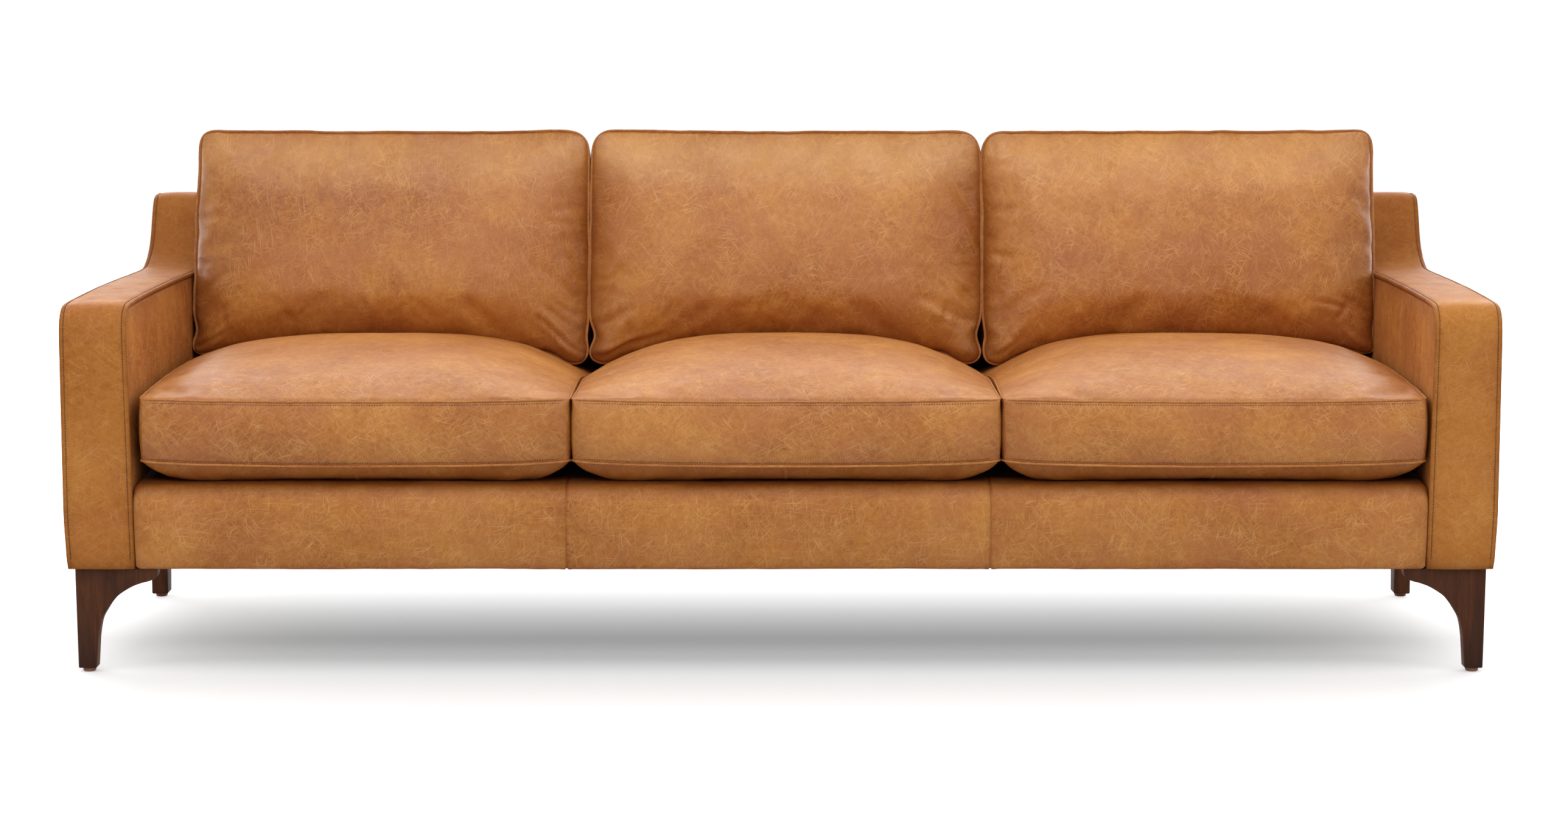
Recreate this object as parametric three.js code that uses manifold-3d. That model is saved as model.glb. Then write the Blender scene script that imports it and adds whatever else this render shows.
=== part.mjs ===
// Three-seat leather sofa on wooden bracket legs: timber and plywood frame, sinuous-spring seat
// deck, webbed raked back, upholstery panels, and loose box cushions (zipped cover round a core).
// Millimetres, +Z up, +X to the sitter's left (the right-hand side seen from the front), front
// towards -Y. The origin is on the floor under the middle of the sofa.
import * as THREE from "three";
import { mergeVertices } from "three/addons/utils/BufferGeometryUtils.js";
import Module from "manifold-3d";

const wasm = await Module();
wasm.setup();

// ---------------------------------------------------------------- driving dimensions
const DEPTH = 950; // front of the arms to the back of the flare
const HALF_W = 1117.5; // half of the overall width
const ARM_IN = 1013; // inner face of each arm
const BASE_Z = 165.5; // underside of the upholstered base
const ARM_TOP = 577; // level top of the arm at the front
const FLARE_TOP = 691; // top of the arm's flare and of the raked back
const ARM_R = 32; // round of the arm's front top corner
const BACK_Y0 = 823.6; // outside back at the base, measured from the front
const BACK_TOP = 682.9; // rear top corner of the outside back
const BACK_SLOPE = (DEPTH - BACK_Y0) / (BACK_TOP - BASE_Z); // rake of the outside back
const GAP = 0.3; // working gap between touching pieces

const STRIP = 9; // arm boxing strip: leather on 8 mm of foam
const SIDE_PANEL = 8; // outer arm panel
const BACK_PANEL = 8.5; // outside back panel
const INNER_PAD = 12; // padded inner arm panel
const PLY = 15; // arm plywood

const RAIL_Z0 = 168; // underside of the timber seat frame
const RAIL_Z1 = 278; // top of the seat rails
const RAIL_T = 25; // rail thickness
const FRONT_RAIL_Y = 20;
const REAR_RAIL_Y = 765;

const CUSHION_W = 666; // each seat cushion
const CUSHION_PITCH = 668;
const SEAT_Y0 = 2;
const SEAT_Y1 = 764;
const SEAT_BOTTOM = 300;
const SEAT_SEAM_LOW = 322;
const SEAT_SEAM_TOP = 432;
const SEAT_CROWN = 55;
const COVER_T = 3.5; // leather cover with its lining
const CORE_GAP = 0.7;

const BACK_CUSHION_W = 666;
const BC_FRONT_LOW = 606; // front face at the bottom, from the front of the sofa
const BC_FRONT_HIGH = 697;
const BC_TOP_Z = 812;
const BC_CROWN = 40;

const LEG_TOP = BASE_Z - GAP;
const LEG_FOOT = 7; // bottom of the wooden leg, on its glide
const LEG_T = 28;
const LEG_OUT = 7; // the front legs stand this much further out than their drawn outline
const FRONT_LEG_Y = 12;
const REAR_LEG_Y = 658;

// ---------------------------------------------------------------- helpers
const y = (fromFront) => fromFront - DEPTH / 2; // distance from the front to the row's Y

function solid(geometry) {
  const g = geometry.index ? geometry.toNonIndexed() : geometry.clone();
  const bare = new THREE.BufferGeometry().setAttribute(
    "position",
    g.getAttribute("position"),
  );
  const merged = mergeVertices(bare, 1e-3);
  return new wasm.Manifold(
    new wasm.Mesh({
      numProp: 3,
      vertProperties: merged.attributes.position.array,
      triVerts: new Uint32Array(merged.index.array),
    }),
  );
}

function geometryOf(manifold) {
  const m = manifold.getMesh(),
    n = m.numProp;
  const v = new Float32Array((m.vertProperties.length / n) * 3);
  for (let i = 0; i < v.length / 3; i++)
    v.set(m.vertProperties.subarray(i * n, i * n + 3), i * 3);
  return new THREE.BufferGeometry()
    .setAttribute("position", new THREE.BufferAttribute(v, 3))
    .setIndex(new THREE.BufferAttribute(new Uint32Array(m.triVerts), 1));
}

const cut = (a, ...bs) =>
  geometryOf(bs.reduce((s, b) => s.subtract(solid(b)), solid(a)));
const join = (a, ...bs) =>
  geometryOf(bs.reduce((s, b) => s.add(solid(b)), solid(a)));

// A box from its corners; y measured from the front of the sofa.
function box(x0, x1, y0, y1, z0, z1) {
  return new THREE.BoxGeometry(x1 - x0, y1 - y0, z1 - z0).translate(
    (x0 + x1) / 2,
    y((y0 + y1) / 2),
    (z0 + z1) / 2,
  );
}

function shapeOf(points) {
  const s = new THREE.Shape();
  points.forEach(([a, b], i) => (i ? s.lineTo(a, b) : s.moveTo(a, b)));
  s.closePath();
  return s;
}

// A side-view outline of [distance from the front, height] points, extruded from x0 to x1.
function acrossX(points, x0, x1) {
  const g = new THREE.ExtrudeGeometry(
    shapeOf(points.map(([a, b]) => [y(a), b])),
    { depth: x1 - x0, bevelEnabled: false, curveSegments: 1 },
  );
  const m = new THREE.Matrix4().makeBasis(
    new THREE.Vector3(0, 1, 0),
    new THREE.Vector3(0, 0, 1),
    new THREE.Vector3(1, 0, 0),
  );
  return g.applyMatrix4(m).translate(x0, 0, 0);
}

// A front-view outline of [x, height] points, extruded from y0 to y1 (from the front).
function alongY(points, y0, y1) {
  const g = new THREE.ExtrudeGeometry(shapeOf(points), {
    depth: y1 - y0,
    bevelEnabled: false,
    curveSegments: 1,
  });
  const m = new THREE.Matrix4().makeBasis(
    new THREE.Vector3(1, 0, 0),
    new THREE.Vector3(0, 0, 1),
    new THREE.Vector3(0, -1, 0),
  );
  return g.applyMatrix4(m).translate(0, y(y1), 0);
}

// The surface of a block divided nx by ny by nz, each point placed by place(u, v, w) with u and
// v from -1 to 1 and w from 0 (bottom) to 1 (top).
function blockSurface(nx, ny, nz, place) {
  const points = [],
    faces = [],
    index = new Map();
  const at = (i, j, k) => {
    const key = `${i},${j},${k}`;
    if (!index.has(key)) {
      index.set(key, points.length);
      points.push(place((2 * i) / nx - 1, (2 * j) / ny - 1, k / nz));
    }
    return index.get(key);
  };
  const quad = (a, b, c, d) => faces.push(a, b, c, a, c, d);
  for (let i = 0; i < nx; i++)
    for (let j = 0; j < ny; j++) {
      quad(at(i, j, nz), at(i + 1, j, nz), at(i + 1, j + 1, nz), at(i, j + 1, nz));
      quad(at(i, j, 0), at(i, j + 1, 0), at(i + 1, j + 1, 0), at(i + 1, j, 0));
    }
  for (let i = 0; i < nx; i++)
    for (let k = 0; k < nz; k++) {
      quad(at(i, 0, k), at(i + 1, 0, k), at(i + 1, 0, k + 1), at(i, 0, k + 1));
      quad(at(i, ny, k), at(i, ny, k + 1), at(i + 1, ny, k + 1), at(i + 1, ny, k));
    }
  for (let j = 0; j < ny; j++)
    for (let k = 0; k < nz; k++) {
      quad(at(0, j, k), at(0, j, k + 1), at(0, j + 1, k + 1), at(0, j + 1, k));
      quad(at(nx, j, k), at(nx, j + 1, k), at(nx, j + 1, k + 1), at(nx, j, k + 1));
    }
  return new THREE.BufferGeometry()
    .setAttribute(
      "position",
      new THREE.BufferAttribute(new Float32Array(points.flat()), 3),
    )
    .setIndex(faces);
}

// The same shape drawn in by t on every side, about the middle of its box.
function shrunk(geometry, t) {
  const g = geometry.clone();
  g.computeBoundingBox();
  const c = g.boundingBox.getCenter(new THREE.Vector3()),
    s = g.boundingBox.getSize(new THREE.Vector3());
  return g
    .translate(-c.x, -c.y, -c.z)
    .scale((s.x - 2 * t) / s.x, (s.y - 2 * t) / s.y, (s.z - 2 * t) / s.z)
    .translate(c.x, c.y, c.z);
}

// A closed outline moved inwards by d, with mitred corners. Outlines run anticlockwise.
function inset(points, d) {
  const n = points.length;
  return points.map((p, i) => {
    const a = points[(i + n - 1) % n],
      b = points[(i + 1) % n];
    const e1 = new THREE.Vector2(p[0] - a[0], p[1] - a[1]).normalize(),
      e2 = new THREE.Vector2(b[0] - p[0], b[1] - p[1]).normalize();
    const n1 = new THREE.Vector2(-e1.y, e1.x),
      n2 = new THREE.Vector2(-e2.y, e2.x);
    const m = n1.clone().add(n2).normalize(),
      k = d / Math.max(0.35, m.dot(n1));
    return [p[0] + m.x * k, p[1] + m.y * k];
  });
}

// ---------------------------------------------------------------- materials
const leather = (hex, roughness = 0.55) =>
  new THREE.MeshStandardMaterial({ color: hex, roughness, metalness: 0 });
const M = {
  armLeather: leather(0xb9783f),
  baseLeather: leather(0xb3713b),
  seatLeather: leather(0xbb7c46),
  backLeather: leather(0xae6a35),
  pine: new THREE.MeshStandardMaterial({ color: 0xcfae7c, roughness: 0.8 }),
  ply: new THREE.MeshStandardMaterial({ color: 0xc39a64, roughness: 0.8 }),
  walnut: new THREE.MeshStandardMaterial({ color: 0x4a2d1e, roughness: 0.45 }),
  foam: new THREE.MeshStandardMaterial({ color: 0xe8dfc8, roughness: 0.95 }),
  cloth: new THREE.MeshStandardMaterial({ color: 0x2b2a29, roughness: 0.95 }),
  webbing: new THREE.MeshStandardMaterial({ color: 0x6d6257, roughness: 0.9 }),
  steel: new THREE.MeshStandardMaterial({
    color: 0x8a8d90,
    roughness: 0.35,
    metalness: 1,
  }),
  glide: new THREE.MeshStandardMaterial({ color: 0x6b3122, roughness: 0.5 }),
};

const sofa = new THREE.Group();
const add = (name, geometry, material, parent = sofa) => {
  const mesh = new THREE.Mesh(geometry, material);
  mesh.name = name;
  parent.add(mesh);
  return mesh;
};

// ---------------------------------------------------------------- arm profile (side view)
// From the bottom of the front, up the front, back along the top, up the flare and over it.
const corner = [0, 0.25, 0.5, 0.75, 1].map((t) => {
  const a = Math.PI - (t * Math.PI) / 2;
  return [ARM_R + ARM_R * Math.cos(a), ARM_TOP - ARM_R + ARM_R * Math.sin(a)];
});
const ARM_PATH = [
  [0, BASE_Z],
  ...corner,
  [214, 577.5],
  [400, 576],
  [560, 572.5],
  [690, 569],
  [745, 570],
  [780, 576],
  [808, 586.5],
  [831, 602],
  [849, 626],
  [865, 655],
  [876, 675],
  [886, 686],
  [903, FLARE_TOP],
];
const REAR_TOP = [
  [936, FLARE_TOP],
  [DEPTH, BACK_TOP],
];
const ARM_OUTLINE = [...ARM_PATH, ...REAR_TOP, [BACK_Y0, BASE_Z]].reverse();

const insetPath = (d) => {
  const all = inset(ARM_OUTLINE, d).reverse();
  return all.slice(0, ARM_PATH.length);
};
const stripInner = insetPath(STRIP);
stripInner[0] = [STRIP, BASE_Z];
stripInner[stripInner.length - 1] = [903, FLARE_TOP - STRIP];
const STRIP_OUTLINE = [
  ...ARM_PATH,
  ...REAR_TOP,
  [DEPTH - 0.3, FLARE_TOP - STRIP],
  ...stripInner.reverse(),
];

// Bring the outline's bottom corners down to z, the rear one along the rake.
const flatBottom = (points, z) =>
  points.map(([a, b]) =>
    b > BASE_Z + 20 ? [a, b] : [a > 400 ? a - (b - z) * BACK_SLOPE : a, z],
  );
const PANEL_OUTLINE = flatBottom(inset(ARM_OUTLINE, STRIP + GAP), BASE_Z);
const PLY_OUTLINE = flatBottom(inset(ARM_OUTLINE, STRIP + GAP), RAIL_Z0);

const bolts = {};
function bore(x, yFront, r, z0, z1) {
  return new THREE.CylinderGeometry(r, r, z1 - z0, 14)
    .rotateX(Math.PI / 2)
    .translate(x, y(yFront), (z0 + z1) / 2);
}

const FRONT_BOLT_X = 1074,
  FRONT_BOLT_Y = FRONT_LEG_Y + LEG_T / 2;
const REAR_BOLT_X = 1080,
  REAR_BOLT_Y = REAR_LEG_Y + 19;

for (const [side, s] of [
  ["left", -1],
  ["right", 1],
]) {
  const across = (points, a, b) =>
    s > 0 ? acrossX(points, a, b) : acrossX(points, -b, -a);
  const block = (a, b, y0, y1, z0, z1) =>
    s > 0 ? box(a, b, y0, y1, z0, z1) : box(-b, -a, y0, y1, z0, z1);

  // Upholstery of the arm: one strip over the front, top and flare, and two side panels.
  const padInner = ARM_IN,
    padOuter = ARM_IN + INNER_PAD;
  // The strip runs the arm's whole width; the panels lie inside its border.
  add(`${side}_arm_boxing`, across(STRIP_OUTLINE, ARM_IN, HALF_W), M.armLeather);
  add(
    `${side}_arm_outer_panel`,
    across(PANEL_OUTLINE, HALF_W - SIDE_PANEL, HALF_W),
    M.armLeather,
  );
  add(
    `${side}_arm_inner_panel`,
    across(PANEL_OUTLINE, padInner, padOuter),
    M.armLeather,
  );

  // Plywood sides of the arm frame and the timber stiles between them.
  const outerPly = HALF_W - SIDE_PANEL - GAP - PLY,
    innerPly = padOuter + GAP;
  add(
    `${side}_arm_outer_ply`,
    across(PLY_OUTLINE, outerPly, outerPly + PLY),
    M.ply,
  );
  add(
    `${side}_arm_inner_ply`,
    across(PLY_OUTLINE, innerPly, innerPly + PLY),
    M.ply,
  );
  const stile0 = innerPly + PLY + GAP,
    stile1 = outerPly - GAP;
  add(
    `${side}_arm_front_stile`,
    cut(
      block(stile0, stile1, STRIP + GAP, 70, BASE_Z, 538),
      bore(s * FRONT_BOLT_X, FRONT_BOLT_Y, 4.7, 150, 222),
    ),
    M.pine,
  );
  add(
    `${side}_arm_rear_stile`,
    cut(
      block(stile0, stile1, 652, 722, BASE_Z, 555),
      bore(s * REAR_BOLT_X, REAR_BOLT_Y, 4.7, 150, 222),
    ),
    M.pine,
  );

  // Front bracket leg: a tapered post whose wing sweeps inwards under the seat.
  const frontLeg = [
    [1093.5, LEG_FOOT],
    [1095.5, LEG_TOP],
    [966.5, LEG_TOP],
    [967, 155.5],
    [969.5, 150],
    [974.5, 146.3],
    [993, 141.2],
    [1006.5, 136],
    [1020, 128.2],
    [1031, 120],
    [1040.5, 109],
    [1048.8, 96.8],
    [1056.2, 84.4],
    [1059.6, 70],
    [1061.8, 54],
    [1065, LEG_FOOT],
  ].map(([a, b]) => [s * (a + LEG_OUT), b]);
  add(
    `${side}_front_leg`,
    cut(
      alongY(s > 0 ? frontLeg : [...frontLeg].reverse(), FRONT_LEG_Y, FRONT_LEG_Y + LEG_T),
      bore(s * FRONT_BOLT_X, FRONT_BOLT_Y, 4.7, 117, 180),
    ),
    M.walnut,
  );
  add(
    `${side}_front_leg_bolt`,
    bore(s * FRONT_BOLT_X, FRONT_BOLT_Y, 4, 120, 218),
    M.steel,
  );

  // Rear leg: a plain post, square across and tapered from the back.
  add(
    `${side}_rear_leg`,
    cut(
      across(
        [
          [REAR_LEG_Y, LEG_FOOT],
          [REAR_LEG_Y + 38, LEG_FOOT],
          [REAR_LEG_Y + 57, LEG_TOP],
          [REAR_LEG_Y, LEG_TOP],
        ],
        1070,
        1098,
      ),
      bore(s * REAR_BOLT_X, REAR_BOLT_Y, 4.7, 117, 180),
    ),
    M.walnut,
  );
  add(
    `${side}_rear_leg_bolt`,
    bore(s * REAR_BOLT_X, REAR_BOLT_Y, 4, 120, 218),
    M.steel,
  );

  // Nail-on glides under the legs.
  const glide = (gx, gy) =>
    new THREE.LatheGeometry(
      [
        [0, 0],
        [8.6, 0],
        [10.3, 1.6],
        [10.3, 5],
        [9.2, LEG_FOOT - GAP],
        [0, LEG_FOOT - GAP],
      ].map(([r, z]) => new THREE.Vector2(r, z)),
      20,
    )
      .rotateX(Math.PI / 2)
      .translate(s * gx, y(gy), 0);
  add(`${side}_front_glide`, glide(1079.2 + LEG_OUT, FRONT_LEG_Y + LEG_T / 2), M.glide);
  add(`${side}_rear_glide`, glide(1084, REAR_LEG_Y + 19), M.glide);

  // Side rail of the seat frame, bolted against the arm.
  add(
    `${side}_side_rail`,
    block(ARM_IN - GAP - RAIL_T, ARM_IN - GAP, FRONT_RAIL_Y + RAIL_T + GAP, REAR_RAIL_Y - GAP, RAIL_Z0, RAIL_Z1),
    M.pine,
  );
  // Cross rail under the joint between two seats.
  add(
    `${side}_cross_rail`,
    block(322, 347, FRONT_RAIL_Y + RAIL_T + GAP, REAR_RAIL_Y - GAP, 180, 256),
    M.pine,
  );
}

// ---------------------------------------------------------------- seat frame and deck
const RAIL_X = ARM_IN - GAP;
add(
  "front_rail",
  box(-RAIL_X, RAIL_X, FRONT_RAIL_Y, FRONT_RAIL_Y + RAIL_T, RAIL_Z0, RAIL_Z1),
  M.pine,
);
add(
  "rear_rail",
  box(-RAIL_X, RAIL_X, REAR_RAIL_Y, REAR_RAIL_Y + RAIL_T, RAIL_Z0, RAIL_Z1),
  M.pine,
);

// Padded leather cover of the front rail, rolled over its top edge.
add(
  "front_rail_cover",
  acrossX(
    [
      [0, BASE_Z],
      [17.5, BASE_Z],
      [17.5, 289],
      [95, 289],
      [95, 298],
      [30, 298],
      [15, 295.5],
      [5, 288.5],
      [0, 277],
    ],
    -RAIL_X,
    RAIL_X,
  ),
  M.baseLeather,
);

// Sinuous springs: three to a seat, tied by two cross wires, on the tops of the rails.
const WIRE = 3.8;
function spring(xc) {
  const y0 = FRONT_RAIL_Y + 6,
    y1 = REAR_RAIL_Y + RAIL_T - 6,
    waves = 14;
  const pts = [];
  for (let i = 0; i <= waves; i++) {
    const t = i / waves;
    const side = i % 2 ? 22 : -22;
    const lift = RAIL_Z1 + GAP + WIRE / 2 + 5 * Math.sin(Math.PI * t);
    pts.push(new THREE.Vector3(xc + side, y(y0 + (y1 - y0) * t), lift));
  }
  const path = new THREE.CatmullRomCurve3(pts, false, "centripetal");
  const r = WIRE / 2;
  const section = shapeOf([
    [-r, -r],
    [r, -r],
    [r, r],
    [-r, r],
  ]);
  return new THREE.ExtrudeGeometry(section, {
    steps: waves * 3,
    extrudePath: path,
    bevelEnabled: false,
  });
}
for (const [name, xc] of [
  ["left", -CUSHION_PITCH],
  ["centre", 0],
  ["right", CUSHION_PITCH],
]) {
  const tie = (yf) => {
    const t = (yf - 26) / 758;
    const z = RAIL_Z1 + GAP + WIRE / 2 + 5 * Math.sin(Math.PI * t);
    return box(xc - 226, xc + 226, yf - 1.6, yf + 1.6, z - 1.6, z + 1.6);
  };
  add(
    `${name}_seat_springs`,
    join(spring(xc - 200), spring(xc), spring(xc + 200), tie(270), tie(535)),
    M.steel,
  );
}

// Felt and cloth over the springs, and the black cloth that closes the underside.
add("seat_deck", box(-RAIL_X, RAIL_X, 95.3, 772, 287.7, 296.5), M.cloth);
add("dust_cover", box(-964, 964, 19, 812, 165.8, 167.4), M.cloth);

// ---------------------------------------------------------------- raked back
const BACK_XS = [-982, -335, 335, 982];
["left_back_post", "left_centre_back_post", "right_centre_back_post", "right_back_post"].forEach(
  (name, i) =>
    add(
      name,
      acrossX(
        [
          [790.3, RAIL_Z0],
          [815, RAIL_Z0],
          [932, 650],
          [890, 650],
          [797, 290],
          [790.3, 281],
        ],
        BACK_XS[i] - 20,
        BACK_XS[i] + 20,
      ),
      M.pine,
    ),
);
add(
  "back_top_rail",
  acrossX(
    [
      [890, 650.3],
      [932, 650.3],
      [939, 679],
      [897.4, 679],
    ],
    -RAIL_X + 1,
    RAIL_X - 1,
  ),
  M.pine,
);

// Pieces that lie in the plane of the back's front: a group turned to the rake of the posts.
const RAKE = Math.atan((890 - 797) / (650 - 290));
const back = new THREE.Group();
back.position.set(0, y(797), 290);
back.rotation.x = -RAKE;
sofa.add(back);
const local = (x0, x1, y0, y1, z0, z1) =>
  new THREE.BoxGeometry(x1 - x0, y1 - y0, z1 - z0).translate(
    (x0 + x1) / 2,
    (y0 + y1) / 2,
    (z0 + z1) / 2,
  );
const uprights = [-900, -675, -450, -225, 0, 225, 450, 675, 900].map((x) =>
  local(x - 25, x + 25, -2.5, -0.5, 8, 360),
);
add(
  "back_webbing",
  join(
    local(-1006, 1006, -2.5, -0.5, 40, 90),
    ...uprights,
    local(-1006, 1006, -2.5, -0.5, 160, 210),
    local(-1006, 1006, -2.5, -0.5, 285, 335),
  ),
  M.webbing,
  back,
);
add("inside_back_pad", local(-1010, 1010, -24, -3, 6, 394), M.armLeather, back);

// Outside back: one panel down the whole back, with the strip over its top.
const outside = acrossX(
  [
    [BACK_Y0 - BACK_PANEL, BASE_Z],
    [BACK_Y0, BASE_Z],
    [BACK_Y0 + (680 - BASE_Z) * BACK_SLOPE, 680],
    [BACK_Y0 + (680 - BASE_Z) * BACK_SLOPE - BACK_PANEL, 680],
  ],
  -HALF_W,
  HALF_W,
);
const cap = acrossX(
  [
    [880, 680.5],
    [BACK_Y0 + (680.5 - BASE_Z) * BACK_SLOPE - 5, 680.5],
    [BACK_Y0 + (679.7 - BASE_Z) * BACK_SLOPE - 3, 679.7],
    [BACK_Y0 + (679.7 - BASE_Z) * BACK_SLOPE, 679.7],
    [DEPTH, BACK_TOP],
    [943, FLARE_TOP],
    [890, FLARE_TOP],
    [880, 686],
  ],
  -RAIL_X,
  RAIL_X,
);
add("outside_back_cover", join(outside, cap), M.armLeather);

// ---------------------------------------------------------------- loose cushions
const dome = (t) => Math.pow(Math.max(0, 1 - t * t), 0.6);
// A square corner eased into a rounded one.
function rounded(u, v, hx, hy, r) {
  const ax = Math.max(0, (Math.abs(u) * hx - (hx - r)) / r),
    ay = Math.max(0, (Math.abs(v) * hy - (hy - r)) / r);
  if (ax <= 0 || ay <= 0) return [u * hx, v * hy];
  return [
    Math.sign(u) * (hx - r + r * ax * Math.sqrt(1 - (ay * ay) / 2)),
    Math.sign(v) * (hy - r + r * ay * Math.sqrt(1 - (ax * ax) / 2)),
  ];
}
const SEAT_MID = (SEAT_Y0 + SEAT_Y1) / 2,
  SEAT_HALF = (SEAT_Y1 - SEAT_Y0) / 2;
const seatTop = (u, v) => SEAT_SEAM_TOP + SEAT_CROWN * dome(u) * dome(v);

function seatBlock(xc) {
  return blockSurface(8, 8, 1, (u, v, w) => {
    const [px, py] = rounded(u, v, CUSHION_W / 2, SEAT_HALF, 22);
    const low = SEAT_SEAM_LOW - (SEAT_SEAM_LOW - SEAT_BOTTOM) * Math.min(1, 1.6 * dome(u) * dome(v));
    return [xc + px, y(SEAT_MID + py), w > 0.5 ? seatTop(u, v) : low];
  });
}

// Back cushion: stands on the crown of the seat and leans on the back.
const BC_REAR = (z) => 797 + (z - 290) * Math.tan(RAKE) - 24 / Math.cos(RAKE) - 1.5;
function backBlock(xc) {
  const hw = BACK_CUSHION_W / 2;
  return blockSurface(8, 3, 6, (u, v, w) => {
    const [px, pw] = rounded(u, 2 * w - 1, hw, 190, 30);
    const t = pw / 380 + 0.5; // 0 bottom, 1 top
    const b = (v + 1) / 2; // 0 front, 1 rear
    // Top edge falls towards the rear; the bottom follows the crown of the seat.
    const topZ = BC_TOP_Z - b * 190 * Math.tan(RAKE);
    const yGuess = BC_FRONT_LOW + b * (BC_REAR(460) - BC_FRONT_LOW);
    const su = Math.min(1, Math.abs(px) / (CUSHION_W / 2)),
      sv = Math.min(1, (yGuess - SEAT_MID) / SEAT_HALF);
    const lowZ = seatTop(su * 0.97, sv) + 9;
    const z = lowZ + t * (topZ - lowZ);
    const frontY = BC_FRONT_LOW + (BC_FRONT_HIGH - BC_FRONT_LOW) * ((z - 440) / (BC_TOP_Z - 440));
    const crown = BC_CROWN * dome(u * 0.98) * dome((2 * t - 1) * 0.98);
    const rear = Math.min(BC_REAR(z), BC_REAR(812));
    const yf = frontY - crown;
    return [xc + px, y(yf + b * (rear - yf)), z];
  });
}

for (const [name, xc] of [
  ["left", -CUSHION_PITCH],
  ["centre", 0],
  ["right", CUSHION_PITCH],
]) {
  const seat = seatBlock(xc);
  const seatZip = box(xc - 240, xc + 240, SEAT_Y1 - 12, SEAT_Y1 + 5, 375, 378);
  add(
    `${name}_seat_cover`,
    cut(seat, shrunk(seat, COVER_T), seatZip),
    M.seatLeather,
  );
  add(`${name}_seat_core`, shrunk(seat, COVER_T + CORE_GAP), M.foam);

  const backrest = backBlock(xc);
  const yr = BC_REAR(520);
  const backZip = box(xc - 240, xc + 240, yr - 12, yr + 8, 518, 521);
  add(
    `${name}_back_cover`,
    cut(backrest, shrunk(backrest, COVER_T), backZip),
    M.backLeather,
  );
  add(`${name}_back_core`, shrunk(backrest, COVER_T + CORE_GAP), M.foam);
}

export default sofa;
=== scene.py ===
"""The looks of a three-seat leather sofa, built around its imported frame. Metres, +Z up, front towards -Y."""

import math

import bpy
import numpy as np
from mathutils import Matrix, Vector


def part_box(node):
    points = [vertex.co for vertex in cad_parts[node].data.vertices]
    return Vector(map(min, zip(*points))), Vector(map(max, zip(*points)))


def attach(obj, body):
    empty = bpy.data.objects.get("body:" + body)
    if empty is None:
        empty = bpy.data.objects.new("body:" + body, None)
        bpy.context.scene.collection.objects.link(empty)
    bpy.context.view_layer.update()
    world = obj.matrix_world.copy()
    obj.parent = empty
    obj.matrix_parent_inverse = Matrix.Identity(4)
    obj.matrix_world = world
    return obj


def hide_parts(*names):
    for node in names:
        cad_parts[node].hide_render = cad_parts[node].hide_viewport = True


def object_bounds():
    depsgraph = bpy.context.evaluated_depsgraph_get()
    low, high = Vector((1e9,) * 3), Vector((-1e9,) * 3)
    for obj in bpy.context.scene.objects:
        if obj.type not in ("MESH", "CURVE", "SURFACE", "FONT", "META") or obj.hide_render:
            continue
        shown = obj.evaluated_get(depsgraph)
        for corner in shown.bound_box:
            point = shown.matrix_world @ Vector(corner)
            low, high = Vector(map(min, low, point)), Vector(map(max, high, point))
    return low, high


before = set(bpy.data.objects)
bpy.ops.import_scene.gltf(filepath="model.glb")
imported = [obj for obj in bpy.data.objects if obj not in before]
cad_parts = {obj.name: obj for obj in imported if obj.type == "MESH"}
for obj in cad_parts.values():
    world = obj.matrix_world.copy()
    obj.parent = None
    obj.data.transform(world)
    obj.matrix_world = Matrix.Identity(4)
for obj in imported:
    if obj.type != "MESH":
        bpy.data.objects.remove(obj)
CAD_LO, CAD_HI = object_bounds()
SCENE = bpy.context.scene
COLL = SCENE.collection
HALF_D = (CAD_HI.y - CAD_LO.y) / 2
FRONT = CAD_LO.y


def Y(from_front):
    """Distance behind the sofa's front, in metres, to the row's Y."""
    return FRONT + from_front


# ------------------------------------------------------------------ camera, light, floor
cam_data = bpy.data.cameras.new("camera")
cam = bpy.data.objects.new("camera", cam_data)
COLL.objects.link(cam)
cam_data.sensor_width = 36.0
cam_data.lens = 82.95
cam_data.clip_end = 200.0
cam.location = (0.0052, FRONT - 5.5543, 1.1424)
cam.rotation_euler = (math.radians(90 - 7.4), 0, 0)
SCENE.camera = cam
SCENE.view_settings.view_transform = "Standard"
SCENE.view_settings.look = "None"


def area_light(name, loc, aim, size, size_y, power, color=(1, 1, 1)):
    d = bpy.data.lights.new(name, "AREA")
    d.shape = "RECTANGLE"
    d.size, d.size_y = size, size_y
    d.energy = power
    d.color = color
    o = bpy.data.objects.new(name, d)
    COLL.objects.link(o)
    o.location = loc
    o.rotation_euler = (Vector(aim) - Vector(loc)).to_track_quat("-Z", "Y").to_euler()
    return o


area_light("top_softbox", (0.0, -1.25, 3.1), (0.0, -0.05, 0.35), 4.8, 2.2, 53.0)
area_light("front_softbox", (-0.3, -5.9, 3.9), (0.0, 0.0, 0.45), 5.0, 2.2, 66.0)
area_light("left_softbox", (-3.6, -1.9, 2.0), (-0.2, 0.0, 0.5), 1.6, 2.2, 11.0)
area_light("right_softbox", (3.6, -1.9, 2.0), (0.2, 0.0, 0.5), 1.6, 2.2, 13.0)

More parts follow.
